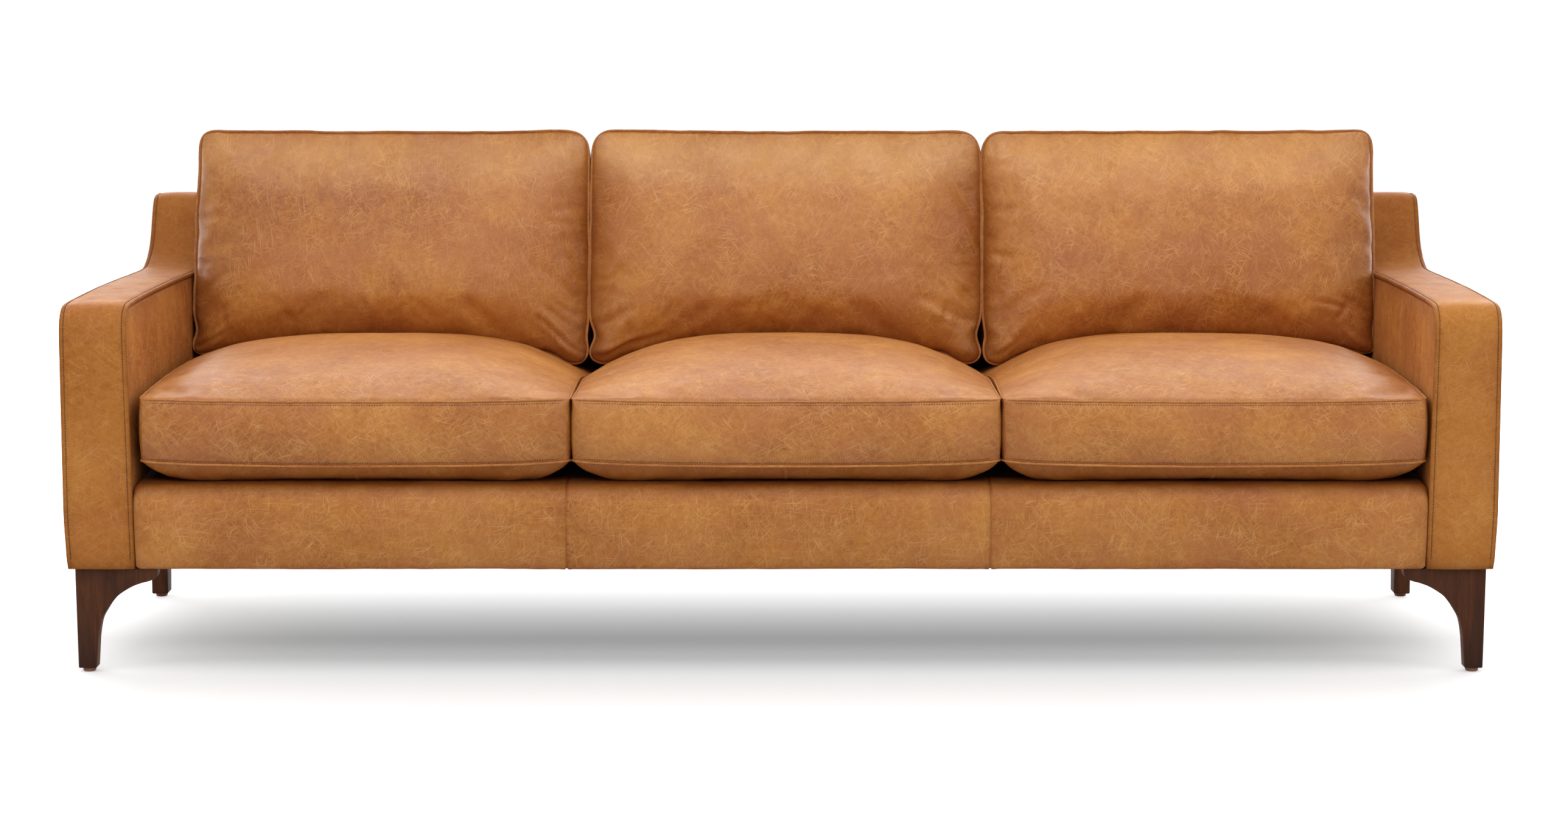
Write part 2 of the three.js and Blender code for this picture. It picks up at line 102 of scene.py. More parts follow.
# A white cyclorama: bright behind the sofa, dimmer around and above
world = bpy.data.worlds.new("studio")
SCENE.world = world
world.use_nodes = True
wn, wl = world.node_tree.nodes, world.node_tree.links
wn.clear()
w_out = wn.new("ShaderNodeOutputWorld")
w_mix = wn.new("ShaderNodeMixShader")
w_path = wn.new("ShaderNodeLightPath")
w_light = wn.new("ShaderNodeBackground")
w_seen = wn.new("ShaderNodeBackground")
w_tc = wn.new("ShaderNodeTexCoord")
w_xyz = wn.new("ShaderNodeSeparateXYZ")
w_map = wn.new("ShaderNodeMapRange")
w_map.interpolation_type = "SMOOTHSTEP"
for k, x in ((1, 0.0), (2, 0.7), (3, 0.0), (4, 4.8)):
    w_map.inputs[k].default_value = x
w_low = wn.new("ShaderNodeValToRGB")
w_low.color_ramp.interpolation = "EASE"
e = w_low.color_ramp.elements
e[0].position, e[0].color = 0.14, (1, 1, 1, 1)
e[1].position, e[1].color = 0.86, (0.06, 0.06, 0.06, 1)
for pos, x in ((0.30, 0.62), (0.62, 0.50)):
    k = e.new(pos)
    k.color = (x, x, x, 1)
w_mul = wn.new("ShaderNodeMath")
w_mul.operation = "MULTIPLY_ADD"
w_mul.inputs[2].default_value = 0.33
wl.new(w_tc.outputs["Generated"], w_xyz.inputs[0])
wl.new(w_xyz.outputs["Y"], w_map.inputs[0])
wl.new(w_xyz.outputs["Z"], w_low.inputs[0])
wl.new(w_map.outputs[0], w_mul.inputs[0])
wl.new(w_low.outputs[0], w_mul.inputs[1])
wl.new(w_mul.outputs[0], w_light.inputs["Strength"])
w_light.inputs["Color"].default_value = (1.0, 1.0, 1.0, 1)
w_seen.inputs["Color"].default_value = (1, 1, 1, 1)
w_seen.inputs["Strength"].default_value = 1.05
wl.new(w_path.outputs["Is Camera Ray"], w_mix.inputs["Fac"])
wl.new(w_light.outputs[0], w_mix.inputs[1])
wl.new(w_seen.outputs[0], w_mix.inputs[2])
wl.new(w_mix.outputs[0], w_out.inputs["Surface"])


# ------------------------------------------------------------------ noise
def _hash(ix, iy, iz, seed):
    h = (
        ix.astype(np.int64) * 374761393
        + iy.astype(np.int64) * 668265263
        + iz.astype(np.int64) * 2147483647
        + seed * 1274126177
    ) & 0xFFFFFFFF
    h = ((h ^ (h >> 13)) * 1274126177) & 0xFFFFFFFF
    h = ((h ^ (h >> 16)) * 668265263) & 0xFFFFFFFF
    return (h & 0xFFFFFF).astype(float) / 0xFFFFFF * 2 - 1


def noise(p, seed=0):
    """Smooth value noise in -1..1 at points p (N, 3), one lattice cell to the unit."""
    p = np.asarray(p, float)
    i = np.floor(p).astype(np.int64)
    f = p - i
    f = f * f * f * (f * (f * 6 - 15) + 10)
    out = 0
    for dx in (0, 1):
        wx = f[:, 0] if dx else 1 - f[:, 0]
        for dy in (0, 1):
            wy = f[:, 1] if dy else 1 - f[:, 1]
            for dz in (0, 1):
                wz = f[:, 2] if dz else 1 - f[:, 2]
                out = out + wx * wy * wz * _hash(
                    i[:, 0] + dx, i[:, 1] + dy, i[:, 2] + dz, seed
                )
    return out


def noise1(t, seed=0):
    t = np.asarray(t, float)
    return noise(np.stack([t, t * 0 + 0.37, t * 0 + 0.71], 1), seed)


def fbm(p, seed=0, octaves=3):
    out, a = 0, 1.0
    for k in range(octaves):
        out = out + a * noise(np.asarray(p) * (2**k) + 17.3 * k, seed + k)
        a *= 0.5
    return out / 1.6


def smooth(t):
    t = np.clip(t, 0, 1)
    return t * t * (3 - 2 * t)


# ------------------------------------------------------------------ mesh helpers
def mesh_object(name, verts, faces, mat=None, smooth_shade=True):
    me = bpy.data.meshes.new(name)
    me.from_pydata([tuple(v) for v in np.asarray(verts, float)], [], [tuple(f) for f in faces])
    me.validate()
    me.update()
    if smooth_shade:
        me.shade_smooth()
    o = bpy.data.objects.new(name, me)
    COLL.objects.link(o)
    if mat:
        me.materials.append(mat)
    return o


def set_attr(o, name, values):
    a = o.data.attributes.get(name) or o.data.attributes.new(name, "FLOAT", "POINT")
    a.data.foreach_set("value", np.asarray(values, np.float32))


def get_attr(me, name):
    out = np.zeros(len(me.vertices), np.float32)
    me.attributes[name].data.foreach_get("value", out)
    return out.astype(float)


def get_co(me):
    co = np.zeros(len(me.vertices) * 3, np.float32)
    me.vertices.foreach_get("co", co)
    return co.reshape(-1, 3).astype(float)


def set_co(me, co):
    me.vertices.foreach_set("co", np.asarray(co, np.float32).ravel())
    me.update()


def get_no(me):
    no = np.zeros(len(me.vertices) * 3, np.float32)
    me.vertices.foreach_get("normal", no)
    return no.reshape(-1, 3).astype(float)


def bake_modifiers(o):
    """Replace o's mesh with its evaluated one and drop its modifiers."""
    dg = bpy.context.evaluated_depsgraph_get()
    me = bpy.data.meshes.new_from_object(o.evaluated_get(dg), preserve_all_data_layers=True, depsgraph=dg)
    old = o.data
    o.modifiers.clear()
    o.data = me
    if old.users == 0:
        bpy.data.meshes.remove(old)
    o.data.name = o.name
    o.data.shade_smooth()


def subdivide(o, levels=1):
    m = o.modifiers.new("subsurf", "SUBSURF")
    m.levels = m.render_levels = levels
    bake_modifiers(o)


def grid_faces(nu, nv, wrap_u=False, base=0, flip=False):
    """Quads of a grid of nu by nv points stored row by row (v fastest)."""
    faces = []
    for i in range(nu if wrap_u else nu - 1):
        a = i * nv
        b = ((i + 1) % nu) * nv
        for j in range(nv - 1):
            q = (base + a + j, base + b + j, base + b + j + 1, base + a + j + 1)
            faces.append(q[::-1] if flip else q)
    return faces


def sweep_closed(name, rings, mat=None, cap=True):
    """A tube through rings, an array (n, m, 3): n rings of m points each, closed round each ring."""
    rings = np.asarray(rings, float)
    n, m, _ = rings.shape
    verts = rings.reshape(-1, 3)
    faces = []
    for i in range(n - 1):
        for j in range(m):
            k = (j + 1) % m
            faces.append((i * m + j, i * m + k, (i + 1) * m + k, (i + 1) * m + j))
    if cap:
        faces.append(tuple(reversed(range(m))))
        faces.append(tuple((n - 1) * m + j for j in range(m)))
    return mesh_object(name, verts, faces, mat)


def resample(points, step, closed=False):
    """Points of a polyline at an even spacing of about step."""
    p = np.asarray(points, float)
    if closed:
        p = np.vstack([p, p[:1]])
    seg = np.linalg.norm(np.diff(p, axis=0), axis=1)
    s = np.concatenate([[0], np.cumsum(seg)])
    n = max(2, int(round(s[-1] / step)))
    t = np.linspace(0, s[-1], n + 1)
    out = np.stack([np.interp(t, s, p[:, k]) for k in range(p.shape[1])], 1)
    return out[:-1] if closed else out


def catmull(points, per=8):
    p = np.asarray(points, float)
    p = np.vstack([2 * p[0] - p[1], p, 2 * p[-1] - p[-2]])
    out = []
    for i in range(1, len(p) - 2):
        for k in range(per):
            t = k / per
            a, b, c, d = p[i - 1], p[i], p[i + 1], p[i + 2]
            out.append(0.5 * ((2 * b) + (c - a) * t + (2 * a - 5 * b + 4 * c - d) * t * t + (3 * b - 3 * c + d - a) * t**3))
    out.append(p[-2])
    return np.array(out)


def frames_along(path, normals, closed=False):
    """Tangent, normal and binormal at each point; normals are rough outward directions."""
    if closed:
        t = np.roll(path, -1, 0) - np.roll(path, 1, 0)
    else:
        t = np.gradient(path, axis=0)
    t /= np.maximum(np.linalg.norm(t, axis=1, keepdims=True), 1e-9)
    n = normals - (normals * t).sum(1, keepdims=True) * t
    n /= np.maximum(np.linalg.norm(n, axis=1, keepdims=True), 1e-9)
    return t, n, np.cross(t, n)


def cord_along(name, path, normals, rn, rb, mat, closed=True, sides=8, lift=0.0, seed=1):
    """A welt: a soft round section run along a seam, rn high and rb wide."""
    t, n, b = frames_along(path, normals, closed)
    s = np.concatenate([[0], np.cumsum(np.linalg.norm(np.diff(path, axis=0), axis=1))])
    wobble = 1 + 0.10 * noise1(s / 0.021, seed) + 0.08 * noise1(s / 0.006, seed + 5)
    rings = []
    for k in range(sides):
        a = 2 * math.pi * k / sides
        rings.append(
            path
            + n * (lift + rn * math.cos(a) * wobble)[:, None]
            + b * (rb * math.sin(a) * wobble)[:, None]
        )
    rings = np.stack(rings, 1)
    if closed:
        m = sides
        nrings = len(path)
        faces = []
        for i in range(nrings):
            j2 = (i + 1) % nrings
            for j in range(m):
                k = (j + 1) % m
                faces.append((i * m + j, j2 * m + j, j2 * m + k, i * m + k))
        o = mesh_object(name, rings.reshape(-1, 3), faces, mat)
    else:
        o = sweep_closed(name, rings, mat)
    fix_normals(o)
    return o


def fix_normals(o):
    import bmesh

    bm = bmesh.new()
    bm.from_mesh(o.data)
    bmesh.ops.recalc_face_normals(bm, faces=bm.faces)
    bm.to_mesh(o.data)
    bm.free()
    o.data.update()


# One stitch: a short thread with sunk ends, seen as a slim rounded bar.
def stitches(name, runs, mat, pitch=0.0040, length=0.0024, r=0.00055, lift=0.0003):
    """Rows of thread. runs is a list of (path, normals), each an open polyline."""
    verts, faces = [], []
    for path, normals in runs:
        seg = np.linalg.norm(np.diff(path, axis=0), axis=1)
        s = np.concatenate([[0], np.cumsum(seg)])
        n = int((s[-1] - pitch) / pitch)
        if n < 1:
            continue
        mid = (np.arange(n) + 1) * pitch
        at = lambda q, f: np.stack([np.interp(q, s, f[:, k]) for k in range(3)], 1)
        a, c, b = at(mid - length / 2, path), at(mid, path), at(mid + length / 2, path)
        nn = at(mid, normals)
        t = b - a
        t /= np.maximum(np.linalg.norm(t, axis=1, keepdims=True), 1e-9)
        nn -= (nn * t).sum(1, keepdims=True) * t
        nn /= np.maximum(np.linalg.norm(nn, axis=1, keepdims=True), 1e-9)
        side = np.cross(t, nn)
        for i in range(n):
            base = len(verts)
            for p, h, w in ((a[i], -0.6, 0.5), (a[i] * 0.65 + c[i] * 0.35, 0.7, 1.0), (b[i] * 0.65 + c[i] * 0.35, 0.7, 1.0), (b[i], -0.6, 0.5)):
                o = p + nn[i] * (lift + r * (h - 0.5))
                verts += [
                    o + side[i] * r * w * 1.2 - nn[i] * r,
                    o + side[i] * r * w * 0.7 + nn[i] * r * 0.8,
                    o - side[i] * r * w * 0.7 + nn[i] * r * 0.8,
                    o - side[i] * r * w * 1.2 - nn[i] * r,
                ]
            for k in range(3):
                for j in range(4):
                    l = (j + 1) % 4
                    faces.append((base + k * 4 + j, base + k * 4 + l, base + (k + 1) * 4 + l, base + (k + 1) * 4 + j))
            faces.append((base + 3, base + 2, base + 1, base))
            faces.append((base + 12, base + 13, base + 14, base + 15))
    if not verts:
        return None
    o = mesh_object(name, np.array(verts), faces, mat)
    fix_normals(o)
    return o


# ------------------------------------------------------------------ materials
def lin(r, g, b):
    f = lambda c: (c / 255 / 12.92) if c / 255 <= 0.04045 else ((c / 255 + 0.055) / 1.055) ** 2.4
    return (f(r), f(g), f(b), 1.0)


class Nodes:
    def __init__(self, name):
        self.mat = bpy.data.materials.new(name)
        self.mat.use_nodes = True
        self.n, self.l = self.mat.node_tree.nodes, self.mat.node_tree.links
        self.n.clear()
        self.out = self.n.new("ShaderNodeOutputMaterial")
        self.bsdf = self.n.new("ShaderNodeBsdfPrincipled")
        self.l.new(self.bsdf.outputs[0], self.out.inputs["Surface"])

    def vec(self, offset=(0, 0, 0), scale=(1, 1, 1), rot=(0, 0, 0)):
        tc = self.n.new("ShaderNodeTexCoord")
        mp = self.n.new("ShaderNodeMapping")
        mp.inputs["Location"].default_value = offset
        mp.inputs["Scale"].default_value = scale
        mp.inputs["Rotation"].default_value = rot
        self.l.new(tc.outputs["Object"], mp.inputs["Vector"])
        return mp.outputs[0]

    def noise(self, v, scale, detail=4, rough=0.55, distortion=0.0, out="Fac"):
        n = self.n.new("ShaderNodeTexNoise")
        n.inputs["Scale"].default_value = scale
        n.inputs["Detail"].default_value = detail
        n.inputs["Roughness"].default_value = rough
        n.inputs["Distortion"].default_value = distortion
        self.l.new(v, n.inputs["Vector"])
        return n.outputs[out]

    def voronoi(self, v, scale, feature="F1", randomness=1.0, out="Distance"):
        n = self.n.new("ShaderNodeTexVoronoi")
        n.feature = feature
        n.inputs["Scale"].default_value = scale
        n.inputs["Randomness"].default_value = randomness
        self.l.new(v, n.inputs["Vector"])
        return n.outputs[out]

    def math(self, op, a, b=None, c=None, clamp=False):
        n = self.n.new("ShaderNodeMath")
        n.operation = op
        n.use_clamp = clamp
        for i, x in enumerate((a, b, c)):
            if x is None:
                continue
            if isinstance(x, (int, float)):
                n.inputs[i].default_value = x
            else:
                self.l.new(x, n.inputs[i])
        return n.outputs[0]

    def ramp(self, fac, stops):
        n = self.n.new("ShaderNodeValToRGB")
        e = n.color_ramp.elements
        while len(e) < len(stops):
            e.new(0.5)
        for k, (pos, col) in zip(e, stops):
            k.position = pos
            k.color = col if len(col) == 4 else (*col, 1)
        self.l.new(fac, n.inputs[0])
        return n.outputs[0]

    def mix(self, fac, a, b, blend="MIX"):
        n = self.n.new("ShaderNodeMix")
        n.data_type = "RGBA"
        n.blend_type = blend
        n.clamp_factor = True
        for sock, x in ((n.inputs[0], fac), (n.inputs[6], a), (n.inputs[7], b)):
            if isinstance(x, (int, float)):
                sock.default_value = x
            elif isinstance(x, tuple):
                sock.default_value = x
            else:
                self.l.new(x, sock)
        return n.outputs[2]

    def remap(self, x, a0, a1, b0=0.0, b1=1.0):
        n = self.n.new("ShaderNodeMapRange")
        n.clamp = True
        for i, val in enumerate((None, a0, a1, b0, b1)):
            if val is not None:
                n.inputs[i].default_value = val
        self.l.new(x, n.inputs[0])
        return n.outputs[0]

    def attr(self, name):
        n = self.n.new("ShaderNodeAttribute")
        n.attribute_name = name
        return n.outputs["Fac"]

    def add_vec(self, a, b, k):
        sc = self.n.new("ShaderNodeVectorMath")
        sc.operation = "SCALE"
        self.l.new(b, sc.inputs[0])
        sc.inputs["Scale"].default_value = k
        n = self.n.new("ShaderNodeVectorMath")
        n.operation = "ADD"
        self.l.new(a, n.inputs[0])
        self.l.new(sc.outputs[0], n.inputs[1])
        return n.outputs[0]

    def bump(self, height, distance, strength=1.0, normal=None):
        n = self.n.new("ShaderNodeBump")
        n.inputs["Strength"].default_value = strength
        n.inputs["Distance"].default_value = distance
        self.l.new(height, n.inputs["Height"])
        if normal is not None:
            self.l.new(normal, n.inputs["Normal"])
        return n.outputs[0]


LIGHT = lin(208, 142, 70)
MID = lin(188, 120, 53)
DARK = lin(158, 90, 34)
PINK = lin(176, 106, 62)
# deep brown for pores, burnished edges and painted shade
PORE_BURNISH_SHADE = lin(120, 56, 12)
FIBRE = lin(230, 176, 110)


def skin(o, coords=None, seed=0.0, barred=None):
    """Lay the hide on a piece: flat coordinates in metres for each face corner, in a corner attribute."""
    me = o.data
    n = len(me.loops)
    vi = np.zeros(n, np.int32)
    me.loops.foreach_get("vertex_index", vi)
    if coords is None:
        co = get_co(me)
        nf = len(me.polygons)
        nor = np.zeros(nf * 3, np.float32)
        me.polygons.foreach_get("normal", nor)
        nor = nor.reshape(-1, 3)
        tot = np.zeros(nf, np.int32)
        me.polygons.foreach_get("loop_total", tot)
        fi = np.repeat(np.arange(nf), tot)
        size = np.abs(nor)
        if barred is not None:
            # ways along which the hide may not be laid on each face
            size = np.where(barred, -1.0, size)
        ax = np.argmax(size, axis=1)[fi]
        p = co[vi]
        a = np.where(ax == 0, p[:, 1] + 7.3, p[:, 0])
        b = np.where(ax == 2, p[:, 1] + 3.1, p[:, 2])
        out = np.stack([a, b, ax * 1.7 + seed], 1)
    else:
        out = np.asarray(coords, float)[vi]
        out[:, 2] += seed
    at = me.attributes.get("skin") or me.attributes.new("skin", "FLOAT_VECTOR", "CORNER")
    at.data.foreach_set("vector", out.astype(np.float32).ravel())


def leather(name, seed=0, tone=1.0, streak=False, fibre=1.0, rough=0.43, gloss=0.36, mottle=1.0, warm=0.0):
    """Waxed full-grain leather: mottled dye, a net of fine pale scuffs, pores, edges burnished darker with painted
    shade from a per-vertex mask, and, with warm at 1, a painted paler sheen.
    """
    m = Nodes(name)
    rng = np.random.RandomState(seed + 11)
    at = m.n.new("ShaderNodeAttribute")
    at.attribute_name = "skin"
    base = at.outputs["Vector"]

    def moved(offset=(0, 0, 0), scale=(1, 1, 1), angle=0.0, src=None):
        mp = m.n.new("ShaderNodeMapping")
        mp.inputs["Location"].default_value = offset
        mp.inputs["Scale"].default_value = scale
        mp.inputs["Rotation"].default_value = (0, 0, angle)
        m.l.new(src or base, mp.inputs["Vector"])
        return mp.outputs[0]

    v = moved(tuple(rng.uniform(-9, 9, 3)))
    big = m.noise(v, 5.0, 3, 0.5, 0.3)
    mid = m.noise(v, 21.0, 6, 0.62, 0.5)
    small = m.noise(v, 105.0, 6, 0.72, 0.6)
    f = m.math("MULTIPLY", big, 0.42)
    f = m.math("MULTIPLY_ADD", mid, 0.14, f)
    f = m.math("MULTIPLY_ADD", small, 0.44, f)
    if mottle != 1.0:
        f = m.math("MULTIPLY_ADD", m.math("SUBTRACT", f, 0.5), mottle, 0.5)
    if streak:
        vs = moved((0, 0, 0), (80.0, 5.0, 1.0))
        st = m.noise(vs, 1.0, 5, 0.65)
        f = m.math("MULTIPLY_ADD", m.math("SUBTRACT", st, 0.5), 0.30, f)
    col = m.ramp(f, [(0.39, DARK), (0.50, MID), (0.61, LIGHT)])
    pink = m.remap(m.noise(v, 9.0, 4, 0.55, 0.5), 0.44, 0.66, 0.05, 0.62 * min(1.0, mottle + 0.15))
    col = m.mix(pink, col, PINK)
    # pale scuffs: short fine hairs lying every way, bunched
    warp = m.noise(v, 13.0, 1, 0.5, out="Color")
    vw = m.add_vec(v, warp, 0.020)
    hairs = None
    for k, ang in enumerate((0.25, 0.80, 1.35, 1.90, 2.45, 2.95)):
        r = rng.uniform(-3, 3, 3)
        # rotate first, then stretch along one way
        turned = moved(tuple(r), (1, 1, 1), ang + rng.uniform(-0.2, 0.2), src=vw)
        long = moved((0, 0, 0), (19.0 + 6 * k, 620.0 - 36 * k, 1.0), 0.0, src=turned)
        h = m.noise(long, 1.0, 0, 0.5)
        h = m.remap(h, 0.635, 0.80)
        hairs = h if hairs is None else m.math("MAXIMUM", hairs, h)
    bunch = m.remap(m.noise(v, 24.0, 4, 0.6, 0.4), 0.36, 0.66, 0.20, 1.0)
    lines = m.math("MULTIPLY", m.math("MULTIPLY", hairs, bunch), 0.60 * fibre)
    col = m.mix(lines, col, FIBRE)
    # a few long scratches
    for ang in (0.5 + rng.uniform(-0.4, 0.4), 1.9 + rng.uniform(-0.5, 0.5)):
        turned = moved(tuple(rng.uniform(-2, 2, 3)), (1, 1, 1), ang, src=m.add_vec(v, warp, 0.05))
        long = moved((0, 0, 0), (17.0, 520.0, 1.0), 0.0, src=turned)
        scr = m.remap(m.noise(long, 1.0, 0, 0.5), 0.80, 0.86)
        col = m.mix(m.math("MULTIPLY", scr, 0.34 * fibre), col, FIBRE)
    # dark pores and specks
    dots = m.remap(m.noise(v, 420.0, 2, 0.6), 0.33, 0.22)
    col = m.mix(m.math("MULTIPLY", dots, 0.30), col, PORE_BURNISH_SHADE)
    # edges burnished darker, with painted shade in gaps, under parts and towards the bottoms, from each mesh's mask
    burnish_and_shade = m.math("MULTIPLY", m.attr("burnish_and_shade"), m.remap(mid, 0.3, 0.7, 1.1, 0.8))
    col = m.mix(burnish_and_shade, col, PORE_BURNISH_SHADE, "MIX")
    # painted sheen: with warm at 1, a paler tan where the mask says, standing in for a highlight
    if warm == 1.0:
        col = m.mix(m.math("MULTIPLY", m.attr("painted_sheen"), m.remap(mid, 0.3, 0.7, 0.8, 1.2)), col, lin(228, 180, 134))
    if tone != 1.0 or warm:
        col = m.mix(1.0, col, (tone, tone * (1 - 0.025 * warm), tone * (1 - 0.15 * warm), 1), "MULTIPLY")
    m.l.new(col, m.bsdf.inputs["Base Color"])
    r = m.remap(m.noise(v, 40.0, 4, 0.6), 0.3, 0.7, rough - 0.07, rough + 0.08)
    m.l.new(r, m.bsdf.inputs["Roughness"])
    m.bsdf.inputs["Specular IOR Level"].default_value = gloss
    pores = m.voronoi(v, 760.0, "F1")
    n1 = m.bump(pores, 0.00022, 0.55)
    n2 = m.bump(small, 0.0009, 0.30, n1)
    n3 = m.bump(lines, 0.00025, 0.5, n2)
    m.l.new(n3, m.bsdf.inputs["Normal"])
    return m.mat


def thread_material(name="thread"):
    m = Nodes(name)
    v = m.vec()
    # thread painted darker than it is, standing in for the shade in the needle holes
    col = m.ramp(m.noise(v, 700.0, 2), [(0.3, lin(78, 40, 16)), (0.7, lin(112, 62, 28))])
    m.l.new(col, m.bsdf.inputs["Base Color"])
    m.bsdf.inputs["Roughness"].default_value = 0.7
    m.l.new(m.bump(m.noise(v, 2400.0, 1), 0.0002, 0.6), m.bsdf.inputs["Normal"])
    return m.mat


def walnut_material(name, along="Z", seed=0):
    m = Nodes(name)
    rng = np.random.RandomState(seed + 3)
    off = tuple(rng.uniform(-4, 4, 3))
    sc = {"Z": (1.0, 1.0, 0.09), "X": (0.09, 1.0, 1.0)}[along]
    v = m.vec(off, scale=sc)
    rings = m.noise(v, 55.0, 5, 0.6, 1.4)
    fine = m.noise(v, 420.0, 3, 0.6)
    blotch = m.noise(m.vec(off), 16.0, 3, 0.5)
    f = m.math("MULTIPLY", rings, 0.5)
    f = m.math("MULTIPLY_ADD", fine, 0.25, f)
    f = m.math("MULTIPLY_ADD", blotch, 0.25, f)
    col = m.ramp(f, [(0.34, lin(72, 35, 14)), (0.5, lin(114, 60, 28)), (0.68, lin(148, 87, 45))])
    # darker where the mask says: at the end faces and edges, and painted shade towards the foot
    col = m.mix(m.math("MULTIPLY", m.attr("burnish_and_shade"), 0.85), col, lin(40, 22, 14))
    m.l.new(col, m.bsdf.inputs["Base Color"])
    m.l.new(m.remap(fine, 0.3, 0.7, 0.34, 0.5), m.bsdf.inputs["Roughness"])
    m.bsdf.inputs["Specular IOR Level"].default_value = 0.22
    m.l.new(m.bump(m.math("MULTIPLY_ADD", rings, 0.4, fine), 0.00018, 0.6), m.bsdf.inputs["Normal"])
    return m.mat


def timber_material(name, a, b, along, layers=False):
    m = Nodes(name)
    sc = {"X": (0.06, 1, 1), "Y": (1, 0.06, 1), "Z": (1, 1, 0.06)}[along]
    v = m.vec((1.3, 2.1, 0.4), scale=sc)
    f = m.noise(v, 60.0, 5, 0.6, 1.2)
    fine = m.noise(v, 380.0, 2, 0.6)
    f = m.math("MULTIPLY_ADD", fine, 0.25, m.math("MULTIPLY", f, 0.75))
    col = m.ramp(f, [(0.35, a), (0.62, b)])
    if layers:
        w = m.n.new("ShaderNodeTexWave")
        w.bands_direction = "X"
        w.inputs["Scale"].default_value = 105.0
        m.l.new(m.vec(), w.inputs["Vector"])
        col = m.mix(m.math("MULTIPLY", w.outputs["Fac"], 0.35), col, lin(120, 84, 48))
    m.l.new(col, m.bsdf.inputs["Base Color"])
    m.bsdf.inputs["Roughness"].default_value = 0.72
    m.l.new(m.bump(f, 0.0006, 0.4), m.bsdf.inputs["Normal"])
    return m.mat


def cloth_material(name, dark, light, pitch=900.0, bump=0.0005):
    """A plain weave: two crossed sets of ribs."""
    m = Nodes(name)
    v = m.vec()
    ribs = []
    for d in ("X", "Y"):
        w = m.n.new("ShaderNodeTexWave")
        w.bands_direction = d
        w.inputs["Scale"].default_value = pitch / 6.283
        w.inputs["Distortion"].default_value = 0.6
        w.inputs["Detail"].default_value = 1.0
        m.l.new(v, w.inputs["Vector"])
        ribs.append(w.outputs["Fac"])
    h = m.math("MULTIPLY", ribs[0], ribs[1])
    n = m.noise(v, 45.0, 4, 0.6)
    f = m.math("MULTIPLY_ADD", h, 0.5, m.math("MULTIPLY", n, 0.5))
    m.l.new(m.ramp(f, [(0.2, dark), (0.75, light)]), m.bsdf.inputs["Base Color"])
    m.bsdf.inputs["Roughness"].default_value = 0.9
    m.bsdf.inputs["Sheen Weight"].default_value = 0.2
    m.l.new(m.bump(h, bump, 0.7), m.bsdf.inputs["Normal"])
    return m.mat


def steel_material(name, tint=(0.62, 0.62, 0.63, 1)):
    m = Nodes(name)
    v = m.vec()
    m.bsdf.inputs["Metallic"].default_value = 1.0
    m.l.new(m.ramp(m.noise(v, 90.0, 3), [(0.3, (tint[0] * 0.6, tint[1] * 0.6, tint[2] * 0.6, 1)), (0.7, tint)]), m.bsdf.inputs["Base Color"])
    m.l.new(m.remap(m.noise(v, 200.0, 3), 0.3, 0.7, 0.25, 0.5), m.bsdf.inputs["Roughness"])
    m.l.new(m.bump(m.noise(v, 800.0, 2), 0.0002, 0.3), m.bsdf.inputs["Normal"])
    return m.mat


def plastic_material(name, a, b):
    m = Nodes(name)
    v = m.vec()
    m.l.new(m.ramp(m.noise(v, 130.0, 3), [(0.3, a), (0.7, b)]), m.bsdf.inputs["Base Color"])
    m.l.new(m.remap(m.noise(v, 300.0, 3), 0.3, 0.7, 0.38, 0.6), m.bsdf.inputs["Roughness"])
    m.l.new(m.bump(m.noise(v, 1400.0, 2), 0.0002, 0.4), m.bsdf.inputs["Normal"])
    return m.mat


def foam_material(name):
    m = Nodes(name)
    v = m.vec()
    cells = m.voronoi(v, 520.0, "F1")
    m.l.new(m.ramp(cells, [(0.1, lin(190, 178, 150)), (0.6, lin(236, 226, 200))]), m.bsdf.inputs["Base Color"])
    m.bsdf.inputs["Roughness"].default_value = 0.95
    m.l.new(m.bump(cells, 0.0008, 0.6), m.bsdf.inputs["Normal"])
    return m.mat


THREAD_WITH_HOLE_SHADE = thread_material()

# ------------------------------------------------------------------ materials of the CAD nodes that stay
cad_mats = {
    "frame_x": timber_material("pine_x", lin(178, 140, 92), lin(214, 182, 134), "X"),
    "frame_y": timber_material("pine_y", lin(178, 140, 92), lin(214, 182, 134), "Y"),
    "frame_z": timber_material("pine_z", lin(178, 140, 92), lin(214, 182, 134), "Z"),
    "ply": timber_material("plywood", lin(168, 128, 78), lin(206, 168, 116), "Y", layers=True),
    "spring": steel_material("spring_wire"),
    "bolt": steel_material("bolt_steel", (0.75, 0.74, 0.70, 1)),
    "webbing": cloth_material("webbing", lin(84, 74, 62), lin(140, 126, 108), 700.0, 0.0008),
    "lining": cloth_material("black_cloth", lin(14, 14, 14), lin(46, 45, 44), 1100.0),
    "foam": foam_material("foam"),
}
NODE_MAT = {}
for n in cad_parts:
    if n.endswith("_springs"):
        k = "spring"
    elif n.endswith("_bolt"):
        k = "bolt"
    elif n.endswith("_core"):
        k = "foam"
    elif n.endswith("_ply"):
        k = "ply"
    elif n == "back_webbing":
        k = "webbing"
    elif n in ("seat_deck", "dust_cover"):
        k = "lining"
    elif n in ("front_rail", "rear_rail", "back_top_rail"):
        k = "frame_x"
    elif n.endswith("_side_rail") or n.endswith("_cross_rail"):
        k = "frame_y"
    elif n.endswith("_post") or n.endswith("_stile"):
        k = "frame_z"
    else:
        continue
    NODE_MAT[n] = cad_mats[k]
for n, mat in NODE_MAT.items():
    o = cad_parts[n]
    o.data.materials.clear()
    o.data.materials.append(mat)

